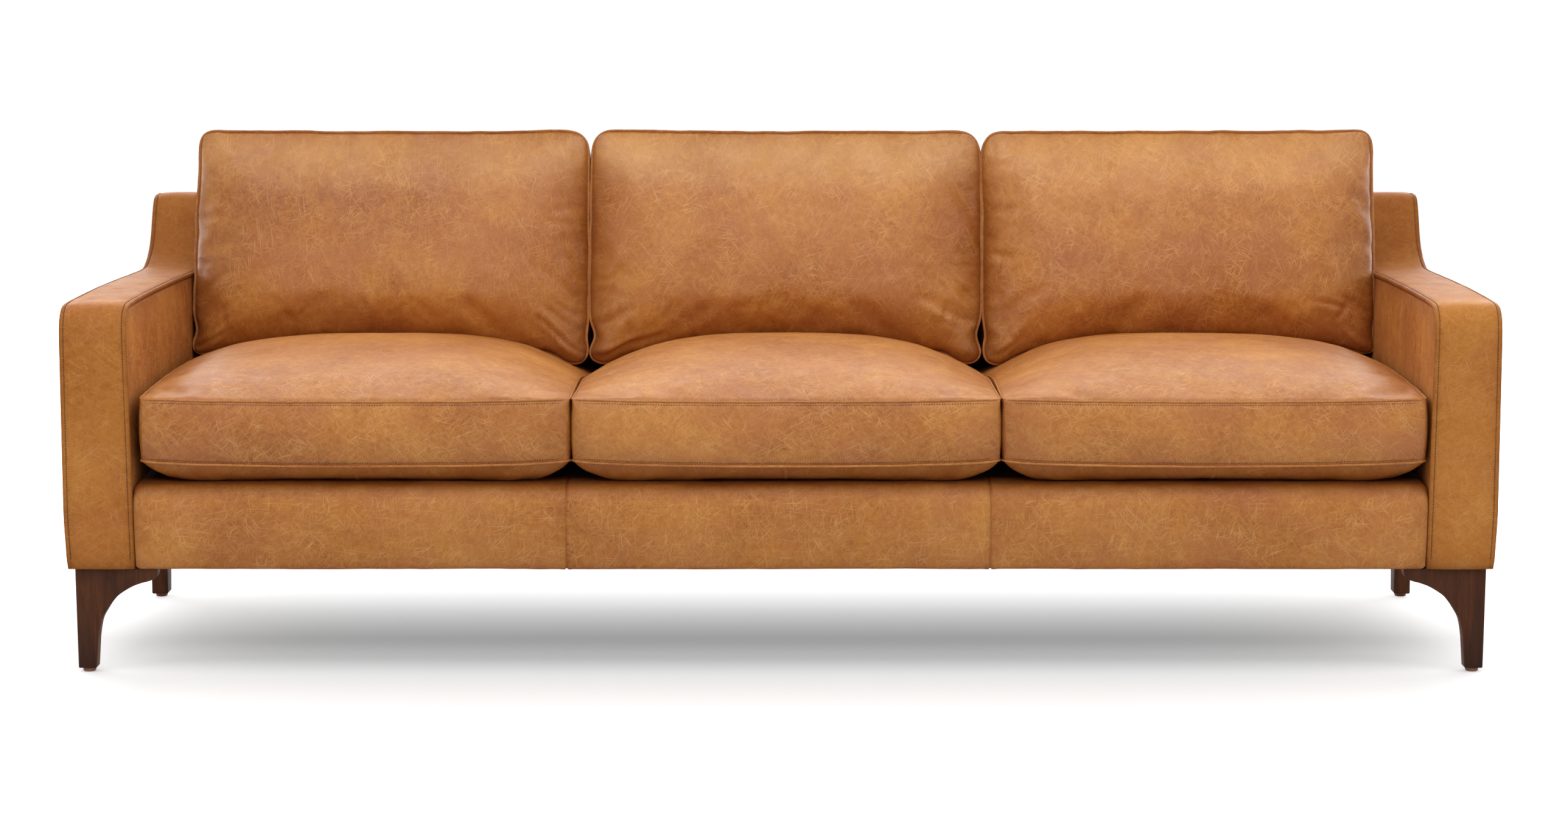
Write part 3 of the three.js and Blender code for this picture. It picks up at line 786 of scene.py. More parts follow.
# ------------------------------------------------------------------ floor
floor = mesh_object(
    "floor",
    [(-9, -9, 0), (9, -9, 0), (9, 7, 0), (-9, 7, 0)],
    [(0, 1, 2, 3)],
    smooth_shade=False,
)
fm = Nodes("studio_floor")
fm.bsdf.inputs["Roughness"].default_value = 0.9
fm.bsdf.inputs["Specular IOR Level"].default_value = 0.0
lp = fm.n.new("ShaderNodeLightPath")
fm.bsdf.inputs["Emission Color"].default_value = (1, 1, 1, 1)
f_at = fm.n.new("ShaderNodeSeparateXYZ")
fm.l.new(fm.vec(), f_at.inputs[0])
f_x = fm.math("ABSOLUTE", f_at.outputs["X"])
f_y = fm.math("SUBTRACT", f_at.outputs["Y"], FRONT)
# painted shadow and light: a glow only the camera sees, weaker in a band under the sofa and in a strip by its front
# edge, stronger around it
painted_floor_glow = fm.math("ADD", 0.212, fm.remap(f_y, 0.29, 0.60, 0.0, 0.26))
painted_floor_glow = fm.math("ADD", painted_floor_glow, fm.remap(f_x, 0.98, 1.45, 0.0, 0.42))
painted_floor_glow = fm.math("ADD", painted_floor_glow, fm.remap(f_y, 1.0, 1.8, 0.0, 0.45))
painted_floor_glow = fm.math("ADD", painted_floor_glow, fm.remap(f_y, 0.26, 0.13, 0.0, 0.055))
painted_floor_glow = fm.math("SUBTRACT", painted_floor_glow, fm.remap(f_y, 0.08, -0.02, 0.0, 0.085))
painted_floor_glow = fm.math("ADD", painted_floor_glow, fm.remap(f_y, -0.06, -0.45, 0.0, 0.16))
painted_floor_glow = fm.math("ADD", painted_floor_glow, fm.remap(f_y, -0.8, -2.4, 0.0, 0.40))
fm.l.new(fm.math("MULTIPLY", lp.outputs["Is Camera Ray"], painted_floor_glow), fm.bsdf.inputs["Emission Strength"])
# painted light: the camera sees a paler floor than the one that lights the sofa
fm.l.new(fm.mix(lp.outputs["Is Camera Ray"], (0.66, 0.66, 0.66, 1), (0.86, 0.86, 0.86, 1)), fm.bsdf.inputs["Base Color"])
floor.data.materials.append(fm.mat)

# ------------------------------------------------------------------ arms
ARM_IN, ARM_OUT = 1.013, 1.1175
BASE_Z = 0.1655
arm_points = np.array(
    [
        (0.0, 0.1655), (0.0, 0.25), (0.0, 0.40), (0.0, 0.50), (0.0005, 0.532), (0.0035, 0.5495), (0.0105, 0.5625), (0.021, 0.5715), (0.036, 0.5765),
        (0.076, 0.5785), (0.214, 0.5785), (0.344, 0.577), (0.503, 0.574), (0.637, 0.5705), (0.720, 0.569), (0.756, 0.5705), (0.785, 0.578),
        (0.811, 0.589), (0.832, 0.6035), (0.849, 0.6245), (0.863, 0.650), (0.876, 0.6705), (0.887, 0.6815), (0.903, 0.6868), (0.925, 0.6878), (0.938, 0.6870), (0.9455, 0.6840), (0.9485, 0.6795),
    ]
)
arm_path = resample(catmull(arm_points, 6), 0.007)
ap3 = np.stack([np.zeros(len(arm_path)), arm_path[:, 0], arm_path[:, 1]], 1)
tan2 = np.gradient(arm_path, axis=0)
tan2 /= np.linalg.norm(tan2, axis=1, keepdims=True)
nor2 = np.stack([-tan2[:, 1], tan2[:, 0]], 1)  # outward: up from the top run, forwards from the front run
arm_s = np.concatenate([[0], np.cumsum(np.linalg.norm(np.diff(arm_path, axis=0), axis=1))])

SECTION = np.array(
    [
        (2.6, -8.0), (1.3, -6.4), (0.5, -4.4), (0.5, -2.6), (1.3, -1.2), (2.8, -0.35), (4.6, 0.05), (6.0, -0.05), (6.6, -0.55), (7.2, -0.75), (7.8, -0.5), (8.6, 0.1),
        (12, 0.9), (20, 1.5), (36, 2.1), (52.25, 2.3), (68.5, 2.1), (84.5, 1.5), (92.5, 0.9),
        (95.9, 0.1), (96.7, -0.5), (97.3, -0.75), (97.9, -0.55), (98.5, -0.05), (99.9, 0.05), (101.7, -0.35), (103.2, -1.2), (104.0, -2.6), (104.0, -4.4), (103.2, -6.4), (101.9, -8.0),
    ]
) / 1000
SECTION_BACK = np.array([(92, -8.6), (52, -8.9), (12, -8.6)]) / 1000


def splay(x, z, side, back=0.0):
    """Where |x| of an arm goes: its inner face draws in towards the bottom, its outer face only at the
    very foot, and both open a little towards the back, the right arm more than the left."""
    w = np.clip((np.abs(x) - ARM_IN) / (ARM_OUT - ARM_IN), 0, 1)
    t = np.clip((0.577 - z) / (0.577 - BASE_Z), 0, 1)
    inner = 0.0068 * t
    outer = 0.0036 * smooth((0.262 - z) / 0.10)
    k = np.clip(back / 0.9, 0, 1.06) * (0.45 + 0.55 * smooth((z - BASE_Z) / 0.35))
    lean = (0.0185 if side > 0 else 0.0025) * w + (0.0092 if side > 0 else 0.0005) * (1 - w)
    return side * (x - inner * (1 - w) - outer * w + lean * k)


def arm_strip(side, name, mat):
    full = np.vstack([SECTION, SECTION_BACK])
    n, m = len(arm_path), len(full)
    rings = np.zeros((n, m, 3))
    for i in range(n):
        py, pz = arm_path[i]
        ny, nz = nor2[i]
        s = full[:, 0] + ARM_IN
        h = full[:, 1].copy()
        # soft fullness of the padding under the leather
        top = full[:, 1] > -0.001
        lift = 0.0007 * noise(np.stack([s * 26, np.full(m, arm_s[i] * 14), np.full(m, side * 3.0)], 1), 5)
        lift += 0.0005 * noise(np.stack([s * 70, np.full(m, arm_s[i] * 45), np.full(m, side * 7.0)], 1), 9)
        mid = np.clip(1 - np.abs(full[:, 0] - 0.05225) / 0.052, 0, 1) ** 0.5
        h = h + np.where(top, lift * mid, 0)
        # the foot of the strip turns in where it is pulled under
        tuck = smooth((0.018 - (pz - BASE_Z)) / 0.018) if arm_s[i] < 0.2 else 0.0
        h = h - 0.0035 * tuck
        c = ARM_IN + 0.05225
        s = c + (s - c) * (1 - 0.018 * tuck)
        yy = py + ny * h
        zz = pz + nz * h
        rings[i, :, 0] = splay(s, zz, side, yy)
        rings[i, :, 1] = Y(0) + yy
        rings[i, :, 2] = zz
    o = sweep_closed(name, rings, mat)
    fix_normals(o)
    # darker towards the edges, burnished and partly painted shade in the seams; painted shade at the foot and over the
    # top run and back of the arm
    e = np.minimum(np.abs(full[:, 0] - 0.0), np.abs(full[:, 0] - 0.1045))
    eb = 0.55 * np.exp(-e / 0.006)
    burnish_shade_mask = np.tile(eb, n)
    zz = rings[:, :, 2].ravel()
    burnish_shade_mask = burnish_shade_mask + 0.45 * np.exp(-(zz - BASE_Z) / 0.02)
    burnish_shade_mask = burnish_shade_mask + np.repeat(0.26 * smooth((arm_s - 0.43) / 0.10), m)
    set_attr(o, "burnish_and_shade", np.clip(burnish_shade_mask, 0, 0.8))
    flat = np.zeros((n, m, 3))
    girth = np.concatenate([[0], np.cumsum(np.linalg.norm(np.diff(full, axis=0), axis=1))])
    flat[:, :, 0] = girth[None, :] + 4.0
    flat[:, :, 1] = arm_s[:, None]
    skin(o, flat.reshape(-1, 3), side * 1.9)
    return o


def panel_grid(x_plane, side, outward, inset, na=120, nb=52):
    """Arm side panel: columns from the bottom edge to the arm's top profile, leaning with the back."""
    inner = arm_path - nor2 * inset  # path moved into the arm
    # parameters along the depth, denser at the front corner and the flare
    a = np.unique(np.concatenate([np.linspace(0, 0.06, 12), np.linspace(0.06, 0.80, 70), np.linspace(0.80, 1.0, 34)]))
    b = np.linspace(0, 1, nb)
    front = inset
    bot_end, top_end = 0.8236 - inset * 1.1, 0.9455 - inset
    co = np.zeros((len(a), nb, 3))
    edge = np.zeros((len(a), nb))
    # top height at a distance back, from the moved path (its part above the front run)
    k0 = int(np.argmax(inner[:, 1] > 0.50))
    ty, tz = inner[k0:, 0].copy(), inner[k0:, 1].copy()
    keep = np.concatenate([[True], np.diff(np.maximum.accumulate(ty)) > 1e-6])
    ty, tz = ty[keep], tz[keep]
    for i, ai in enumerate(a):
        y0 = front + ai * (bot_end - front)
        y1 = front + ai * (top_end - front)
        z1 = np.interp(y1, ty, tz)
        yy = y0 + (y1 - y0) * b
        zz = BASE_Z + 0.0005 + (z1 - BASE_Z - 0.0005) * b
        co[i, :, 1], co[i, :, 2] = yy, zz
    # distance from the panel's edges, for the fullness
    for i in range(len(a)):
        edge[i] = np.minimum.reduce([
            np.abs(co[i, :, 1] - front), (bot_end + (top_end - bot_end) * b) - co[i, :, 1],
            co[i, -1, 2] - co[i, :, 2], co[i, :, 2] - BASE_Z,
        ])
    return a, b, co, np.maximum(edge, 0)


def arm_panel(side, name, x_plane, outward, mat, full=0.004, thick=0.004, inset=0.0045, seed=3):
    """A closed, slightly padded panel. outward is +1 when it faces away from the sofa's middle."""
    a, b, co, edge = panel_grid(x_plane, side, outward, inset)
    na, nb = co.shape[:2]
    puff = full * (1 - np.exp(-edge / 0.02))
    flat = co.reshape(-1, 3)
    wob = 0.0009 * fbm(np.stack([flat[:, 1] * 9, flat[:, 2] * 9, flat[:, 1] * 0 + seed], 1), seed).reshape(na, nb)
    wob += 0.0004 * noise(np.stack([flat[:, 1] * 55, flat[:, 2] * 22, flat[:, 1] * 0 + seed], 1), seed + 4).reshape(na, nb)
    off = puff + wob * np.clip(edge / 0.02, 0, 1)
    xs = x_plane + outward * off
    outer = np.stack([splay(xs, co[:, :, 2], side, co[:, :, 1]), Y(0) + co[:, :, 1], co[:, :, 2]], 2)
    xi = np.full_like(xs, x_plane - outward * thick)
    inner = np.stack([splay(xi, co[:, :, 2], side, co[:, :, 1]), Y(0) + co[:, :, 1], co[:, :, 2]], 2)
    verts = np.vstack([outer.reshape(-1, 3), inner.reshape(-1, 3)])
    N = na * nb
    faces = grid_faces(na, nb) + grid_faces(na, nb, base=N, flip=True)
    rim = [(i, 0) for i in range(na)] + [(na - 1, j) for j in range(1, nb)] + [(i, nb - 1) for i in range(na - 2, -1, -1)] + [(0, j) for j in range(nb - 2, 0, -1)]
    ids = [i * nb + j for i, j in rim]
    for k in range(len(ids)):
        p, q = ids[k], ids[(k + 1) % len(ids)]
        faces.append((p, p + N, q + N, q))
    o = mesh_object(name, verts, faces, mat)
    fix_normals(o)
    # darker along the edges: burnished, and painted shade where the panel meets the strip and the base
    burnish_shade_mask = 0.5 * np.exp(-edge.ravel() / 0.018)
    set_attr(o, "burnish_and_shade", np.concatenate([burnish_shade_mask, burnish_shade_mask]))
    skin(o, None, side * 0.7 + outward)
    return o


arm_runs = []
for side, s in (("left", -1), ("right", 1)):
    mat = leather(f"arm_leather_{side}", 20 + s, rough=0.60, gloss=0.09, tone=0.95, fibre=0.5, mottle=0.6)
    strip = arm_strip(s, f"{side}_arm_strip", mat)
    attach(strip, "frame")
    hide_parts(f"{side}_arm_boxing")
    mat_in = leather(f"arm_inner_leather_{side}", 24 + s, streak=True, rough=0.54, gloss=0.22, tone=0.95, fibre=0.8, mottle=0.9)
    inner = arm_panel(s, f"{side}_arm_inner_leather", ARM_IN + 0.0032, -1, mat_in, full=0.0035, inset=0.0052, seed=3)
    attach(inner, "frame")
    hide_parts(f"{side}_arm_inner_panel")
    mat_out = leather(f"arm_outer_leather_{side}", 28 + s, rough=0.50, gloss=0.26, tone=0.95, fibre=0.7, mottle=0.7)
    outer = arm_panel(s, f"{side}_arm_outer_leather", ARM_OUT - 0.0032, 1, mat_out, full=0.0035, inset=0.0052, seed=6)
    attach(outer, "frame")
    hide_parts(f"{side}_arm_outer_panel")
    runs = []
    for off in (0.0072, 0.1045 - 0.0072):
        x = ARM_IN + off
        keep = slice(2, len(arm_path) - 2)
        p = np.stack([splay(np.full(len(arm_path), x), arm_path[:, 1], s, arm_path[:, 0]), Y(0) + arm_path[:, 0] - nor2[:, 0] * 0.0006, arm_path[:, 1] - nor2[:, 1] * 0.0006], 1)
        nn = np.stack([np.zeros(len(arm_path)), nor2[:, 0], nor2[:, 1]], 1)
        runs.append((p[keep], nn[keep]))
    st = stitches(f"{side}_arm_stitching", runs, THREAD_WITH_HOLE_SHADE)
    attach(st, "frame")

# ------------------------------------------------------------------ front rail cover
BASE_HALF = 1.0042
base_prof = catmull(
    np.array([(0.0125, 0.1650), (0.006, 0.1652), (0.0015, 0.1672), (-0.0002, 0.1720), (-0.0018, 0.190), (-0.0035, 0.220), (-0.0032, 0.250), (-0.0008, 0.2710), (0.0040, 0.2832), (0.0120, 0.2912), (0.024, 0.2955), (0.042, 0.2978), (0.068, 0.2985), (0.0948, 0.2980)]),
    5,
)
SEAMS = (-0.334, 0.327)


def base_cover(name, mat):
    t = np.gradient(base_prof, axis=0)
    t /= np.linalg.norm(t, axis=1, keepdims=True)
    n2 = np.stack([-t[:, 1], t[:, 0]], 1)
    xs = np.unique(np.concatenate([np.linspace(-BASE_HALF, BASE_HALF, 200)] + [c + np.array([-0.012, -0.008, -0.005, -0.003, -0.0018, -0.0009, 0, 0.0009, 0.0018, 0.003, 0.005, 0.008, 0.012]) for c in SEAMS] + [np.array([s * (BASE_HALF - d) for s in (-1, 1) for d in (0.001, 0.003, 0.006, 0.010)])]))
    m = len(base_prof)
    sarc = np.concatenate([[0], np.cumsum(np.linalg.norm(np.diff(base_prof, axis=0), axis=1))])
    outer = np.zeros((len(xs), m, 3))
    burnish_and_shade = np.zeros((len(xs), m))
    for i, x in enumerate(xs):
        dseam = min(abs(x - c) for c in SEAMS)
        dend = BASE_HALF - abs(x)
        dip = -0.0016 * math.exp(-((dseam / 0.0016) ** 2)) + 0.0007 * math.exp(-(((dseam - 0.005) / 0.004) ** 2))
        roll = -0.004 * max(0.0, 1 - dend / 0.008) ** 2
        p = np.stack([np.full(m, x * 11.0), sarc * 16, np.full(m, 0.3)], 1)
        w = 0.0012 * fbm(p, 31) + 0.0005 * noise(p * 4.1, 33)
        # shallow ripples under the rolled top edge
        w += 0.0007 * np.exp(-(((sarc - 0.125) / 0.025) ** 2)) * noise1(np.full(m, x / 0.035), 35)
        h = dip + roll + w * min(1.0, dend / 0.02) * np.clip(sarc / 0.01, 0, 1)
        # its ends close against the arms, which stand a little further apart higher up
        outer[i, :, 0] = x + np.sign(x) * smooth((abs(x) - 0.90) / 0.1) * (0.0016 + 0.0165 * (base_prof[:, 1] - BASE_Z))
        outer[i, :, 1] = Y(0) + base_prof[:, 0] + n2[:, 0] * h
        outer[i, :, 2] = base_prof[:, 1] + n2[:, 1] * h
        # darker at the seams; painted shade at the foot, at the ends against the arms and over the rolled top in the
        # gap under the seats
        burnish_and_shade[i] = 0.42 * np.exp(-(base_prof[:, 1] - BASE_Z) / 0.010) + 0.35 * np.exp(-dseam / 0.006) * 0.5 + 0.35 * np.exp(-dend / 0.012) + 0.55 * smooth((base_prof[:, 1] - 0.270) / 0.024) * (base_prof[:, 1] > 0.25)
    inner = outer.copy()
    inner[:, :, 1] -= n2[None, :, 0] * 0.006
    inner[:, :, 2] -= n2[None, :, 1] * 0.006
    nx = len(xs)
    N = nx * m
    verts = np.vstack([outer.reshape(-1, 3), inner.reshape(-1, 3)])
    faces = grid_faces(nx, m) + grid_faces(nx, m, base=N, flip=True)
    rim = [(i, 0) for i in range(nx)] + [(nx - 1, j) for j in range(1, m)] + [(i, m - 1) for i in range(nx - 2, -1, -1)] + [(0, j) for j in range(m - 2, 0, -1)]
    ids = [i * m + j for i, j in rim]
    for k in range(len(ids)):
        p, q = ids[k], ids[(k + 1) % len(ids)]
        faces.append((p, p + N, q + N, q))
    o = mesh_object(name, verts, faces, mat)
    fix_normals(o)
    set_attr(o, "burnish_and_shade", np.clip(np.concatenate([burnish_and_shade.ravel()] * 2), 0, 0.8))
    flat = np.zeros((nx, m, 3))
    flat[:, :, 0] = xs[:, None]
    flat[:, :, 1] = sarc[None, :]
    flat[:, :, 2] = np.digitize(xs, SEAMS)[:, None] * 2.3
    skin(o, np.vstack([flat.reshape(-1, 3)] * 2))
    return o


base = base_cover("front_rail_leather", leather("base_leather", 41, rough=0.50, gloss=0.28, tone=1.01, fibre=0.8, mottle=0.8))
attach(base, "frame")
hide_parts("front_rail_cover")

# ------------------------------------------------------------------ cushions
RAKE = math.tan(math.radians(14.4))


def dome(t, q=0.6):
    return np.maximum(0.0, 1 - t * t) ** q


def rounded(u, v, hx, hy, r):
    """A square-cornered place (u, v) in a box of half sizes hx, hy, with its corners eased round."""
    ax = np.clip((np.abs(u) * hx - (hx - r)) / r, 0, 1)
    ay = np.clip((np.abs(v) * hy - (hy - r)) / r, 0, 1)
    both = (ax > 0) & (ay > 0)
    x = np.where(both, np.sign(u) * (hx - r + r * ax * np.sqrt(1 - ay * ay / 2)), u * hx)
    y = np.where(both, np.sign(v) * (hy - r + r * ay * np.sqrt(1 - ax * ax / 2)), v * hy)
    return x, y


def spaced(n, pull=0.35):
    """n+1 places from -1 to 1, a little closer together at the ends."""
    t = np.linspace(-1, 1, n + 1)
    return t * (1 - pull) + pull * np.sin(t * math.pi / 2)


class Box:
    """A box cushion's skin: panel A, a boxing strip, and panel B, sharing their seam loops."""

    def __init__(self, nx, ny, nb, radius):
        self.nx, self.ny, self.nb = nx, ny, nb
        self.us, self.vs = spaced(nx), spaced(ny)
        g = np.array([(i, j) for i in range(nx + 1) for j in range(ny + 1)])
        self.gu, self.gv = self.us[g[:, 0]], self.vs[g[:, 1]]
        idx = lambda i, j: i * (ny + 1) + j
        loop = [idx(i, 0) for i in range(nx)] + [idx(nx, j) for j in range(ny)] + [idx(i, ny) for i in range(nx, 0, -1)] + [idx(0, j) for j in range(ny, 0, -1)]
        self.loop = np.array(loop)
        self.G = (nx + 1) * (ny + 1)
        self.L = len(loop)

    def build(self, place_a, place_b, band):
        """place_a(u, v) and place_b(u, v) give panel points; band(t, a, b, u, v) the boxing between them."""
        A = place_a(self.gu, self.gv)
        B = place_b(self.gu, self.gv)
        la, lb = A[self.loop], B[self.loop]
        lu, lv = self.gu[self.loop], self.gv[self.loop]
        rows = [band(k / self.nb, la, lb, lu, lv) for k in range(1, self.nb)]
        verts = np.vstack([A, B] + rows)
        G, L, nb, ny = self.G, self.L, self.nb, self.ny
        faces = []
        for i in range(self.nx):
            for j in range(ny):
                a, b, c, d = i * (ny + 1) + j, (i + 1) * (ny + 1) + j, (i + 1) * (ny + 1) + j + 1, i * (ny + 1) + j + 1
                faces.append((a, b, c, d))
                faces.append((G + d, G + c, G + b, G + a))
        ring = lambda k: self.loop if k == 0 else (self.loop + G if k == nb else 2 * G + (k - 1) * L + np.arange(L))
        for k in range(nb):
            r0, r1 = ring(k), ring(k + 1)
            for i in range(L):
                j = (i + 1) % L
                faces.append((r1[i], r1[j], r0[j], r0[i]))
        self.rings = [ring(k) for k in range(nb + 1)]
        # part: 0 panel A, 1 panel B, 2 boxing; t: place across the boxing
        self.part = np.concatenate([np.zeros(G), np.ones(G), np.full(L * (nb - 1), 2)])
        self.u = np.concatenate([self.gu, self.gu] + [lu] * (nb - 1))
        self.v = np.concatenate([self.gv, self.gv] + [lv] * (nb - 1))
        self.t = np.concatenate([np.zeros(G), np.ones(G)] + [np.full(L, k / nb) for k in range(1, nb)])
        return verts, faces


SEAT_Y0, SEAT_Y1 = 0.009, 0.764
SEATS = {"left": (-0.9985, -0.3272), "centre": (-0.3258, 0.3432), "right": (0.3448, 1.0062)}
DECK = 0.2992


SIDE_AT = [0.0, 0.05, 0.14, 0.25, 0.33, 0.40, 0.50, 0.60, 0.77]
SIDE_BY_ARM = [0.4338, 0.4340, 0.4372, 0.4392, 0.4394, 0.4388, 0.4360, 0.4290, 0.4180]
SIDE_BY_SEAT = [0.4338, 0.4310, 0.4295, 0.4290, 0.4265, 0.4200, 0.4095, 0.3995, 0.3940]


def seat_depth(v):
    return (v + 1) / 2 * (SEAT_Y1 - SEAT_Y0) + SEAT_Y0


def seat_top(u, v, name="centre"):
    """Top of a seat cushion at (u, v) in -1..1. Its sides sag towards a neighbour, not against an arm."""
    y = seat_depth(v)
    arm, seat = np.interp(y, SIDE_AT, SIDE_BY_ARM), np.interp(y, SIDE_AT, SIDE_BY_SEAT)
    left = arm if name == "left" else seat
    right = arm if name == "right" else seat
    t = (v + 1) / 2
    front = (1 - (1 - np.clip(t / 0.52, 0, 1)) ** 2.5) ** 0.85
    back = (1 - np.clip((t - 0.72) / 0.28, 0, 1) ** 2.4) ** 0.8
    middle = 0.4290 + (np.interp(y, [0.0, 0.2, 0.4, 0.57, 0.77], [0.4865, 0.4880, 0.4885, 0.4715, 0.4480]) - 0.4290) * front * back
    k = smooth((u + 1) / 2)
    side = left * (1 - k) + right * k
    across = np.maximum(0, 1 - np.abs(u) ** 2.9) ** 0.90
    return side * (1 - across) + middle * across


def seat_low(u, v):
    return 0.3345 - 0.0068 * (1 - np.abs(u) ** 2.4) * (1 - 0.3 * smooth((v + 1) / 2)) - 0.014 * smooth((v + 0.6) / 1.4)


def seat_cushion(name, seed):
    x0, x1 = SEATS[name]
    cx, hx = (x0 + x1) / 2, (x1 - x0) / 2
    cy, hy = (SEAT_Y0 + SEAT_Y1) / 2, (SEAT_Y1 - SEAT_Y0) / 2
    box = Box(50, 54, 8, 0.022)

    def place(u, v, top):
        px, py = rounded(u, v, hx, hy, 0.011)
        uu, vv = px / hx, py / hy
        # the long sides draw in a little between the corners
        px = px - np.sign(u) * 0.0025 * np.abs(uu) ** 3 * (1 - vv**2)
        py = py - np.where(v < 0, 1, 0) * 0.004 * np.abs(vv) ** 3 * (1 - uu**2)
        s = noise(np.stack([(cx + px) * 22, py * 22, uu * 0 + seed], 1), 77)
        rim = np.maximum(np.abs(u), np.abs(v)) > 0.999
        if top:
            z = seat_top(np.clip(uu, -1, 1), np.clip(vv, -1, 1), name) + 0.0003 * s * rim
        else:
            eu, ev = np.maximum(1 - np.abs(uu), 0) * hx, np.maximum(1 - np.abs(vv), 0) * hy
            fall = (1 - np.exp(-eu / 0.020)) * (1 - np.exp(-ev / 0.012))
            z = seat_low(uu, vv) * (1 - fall) + DECK * fall + 0.0006 * s * rim
        return np.stack([cx + px, Y(cy + py), z], 1)

    def band(t, a, b, u, v):
        p = a * (1 - t) + b * t
        out = np.stack([np.where(np.abs(u) > 0.999, np.sign(u), 0.0), np.where(np.abs(v) > 0.999, np.sign(v), 0.0)], 1)
        out /= np.maximum(np.linalg.norm(out, axis=1, keepdims=True), 1e-9)
        bulge = 0.0075 * (1 - (2 * t - 1) ** 2)
        p[:, 1] += out[:, 1] * bulge
        p[:, 0] += out[:, 0] * bulge * 0.18
        return p

    verts, faces = box.build(lambda u, v: place(u, v, True), lambda u, v: place(u, v, False), band)
    o = mesh_object(f"{name}_seat_cushion", verts, faces)
    return o, box, verts


# Back cushions: panel A faces the sitter, panel B lies on the inside back.
BACK_LOW, BACK_TOP = 0.4180, 0.8112
# left and right edges at the bottom and at the top
BACKS = {
    "left": (-1.0085, -0.3338, -1.0012, -0.3345),
    "centre": (-0.3262, 0.3412, -0.3240, 0.3412),
    "right": (0.3490, 1.0172, 0.3490, 1.0190),
}
# how far the seam is drawn in above the lower corners, and how far it lifts beside them: left, then right
WAIST = {"left": (0.0075, 0.0035), "centre": (0.0110, 0.0095), "right": (0.0045, 0.0040)}
HITCH = {"left": (0.004, 0.008), "centre": (0.006, 0.009), "right": (0.005, 0.004)}


def back_front_y(z):
    return 0.606 + (z - 0.430) * 0.250


def rear_y(z):
    """Where the back cushions meet the inside back, in metres from the front."""
    return 0.7745 + (np.minimum(z, 0.70) - 0.2966) * 0.2584 - 0.0015


def crown_under(u, yf, name):
    """Top of the seat cushion below a back cushion."""
    cy, hy = (SEAT_Y0 + SEAT_Y1) / 2, (SEAT_Y1 - SEAT_Y0) / 2
    v = np.clip((yf - cy) / hy, -1, 1)
    return seat_top(np.clip(u, -0.99, 0.99), v, name)


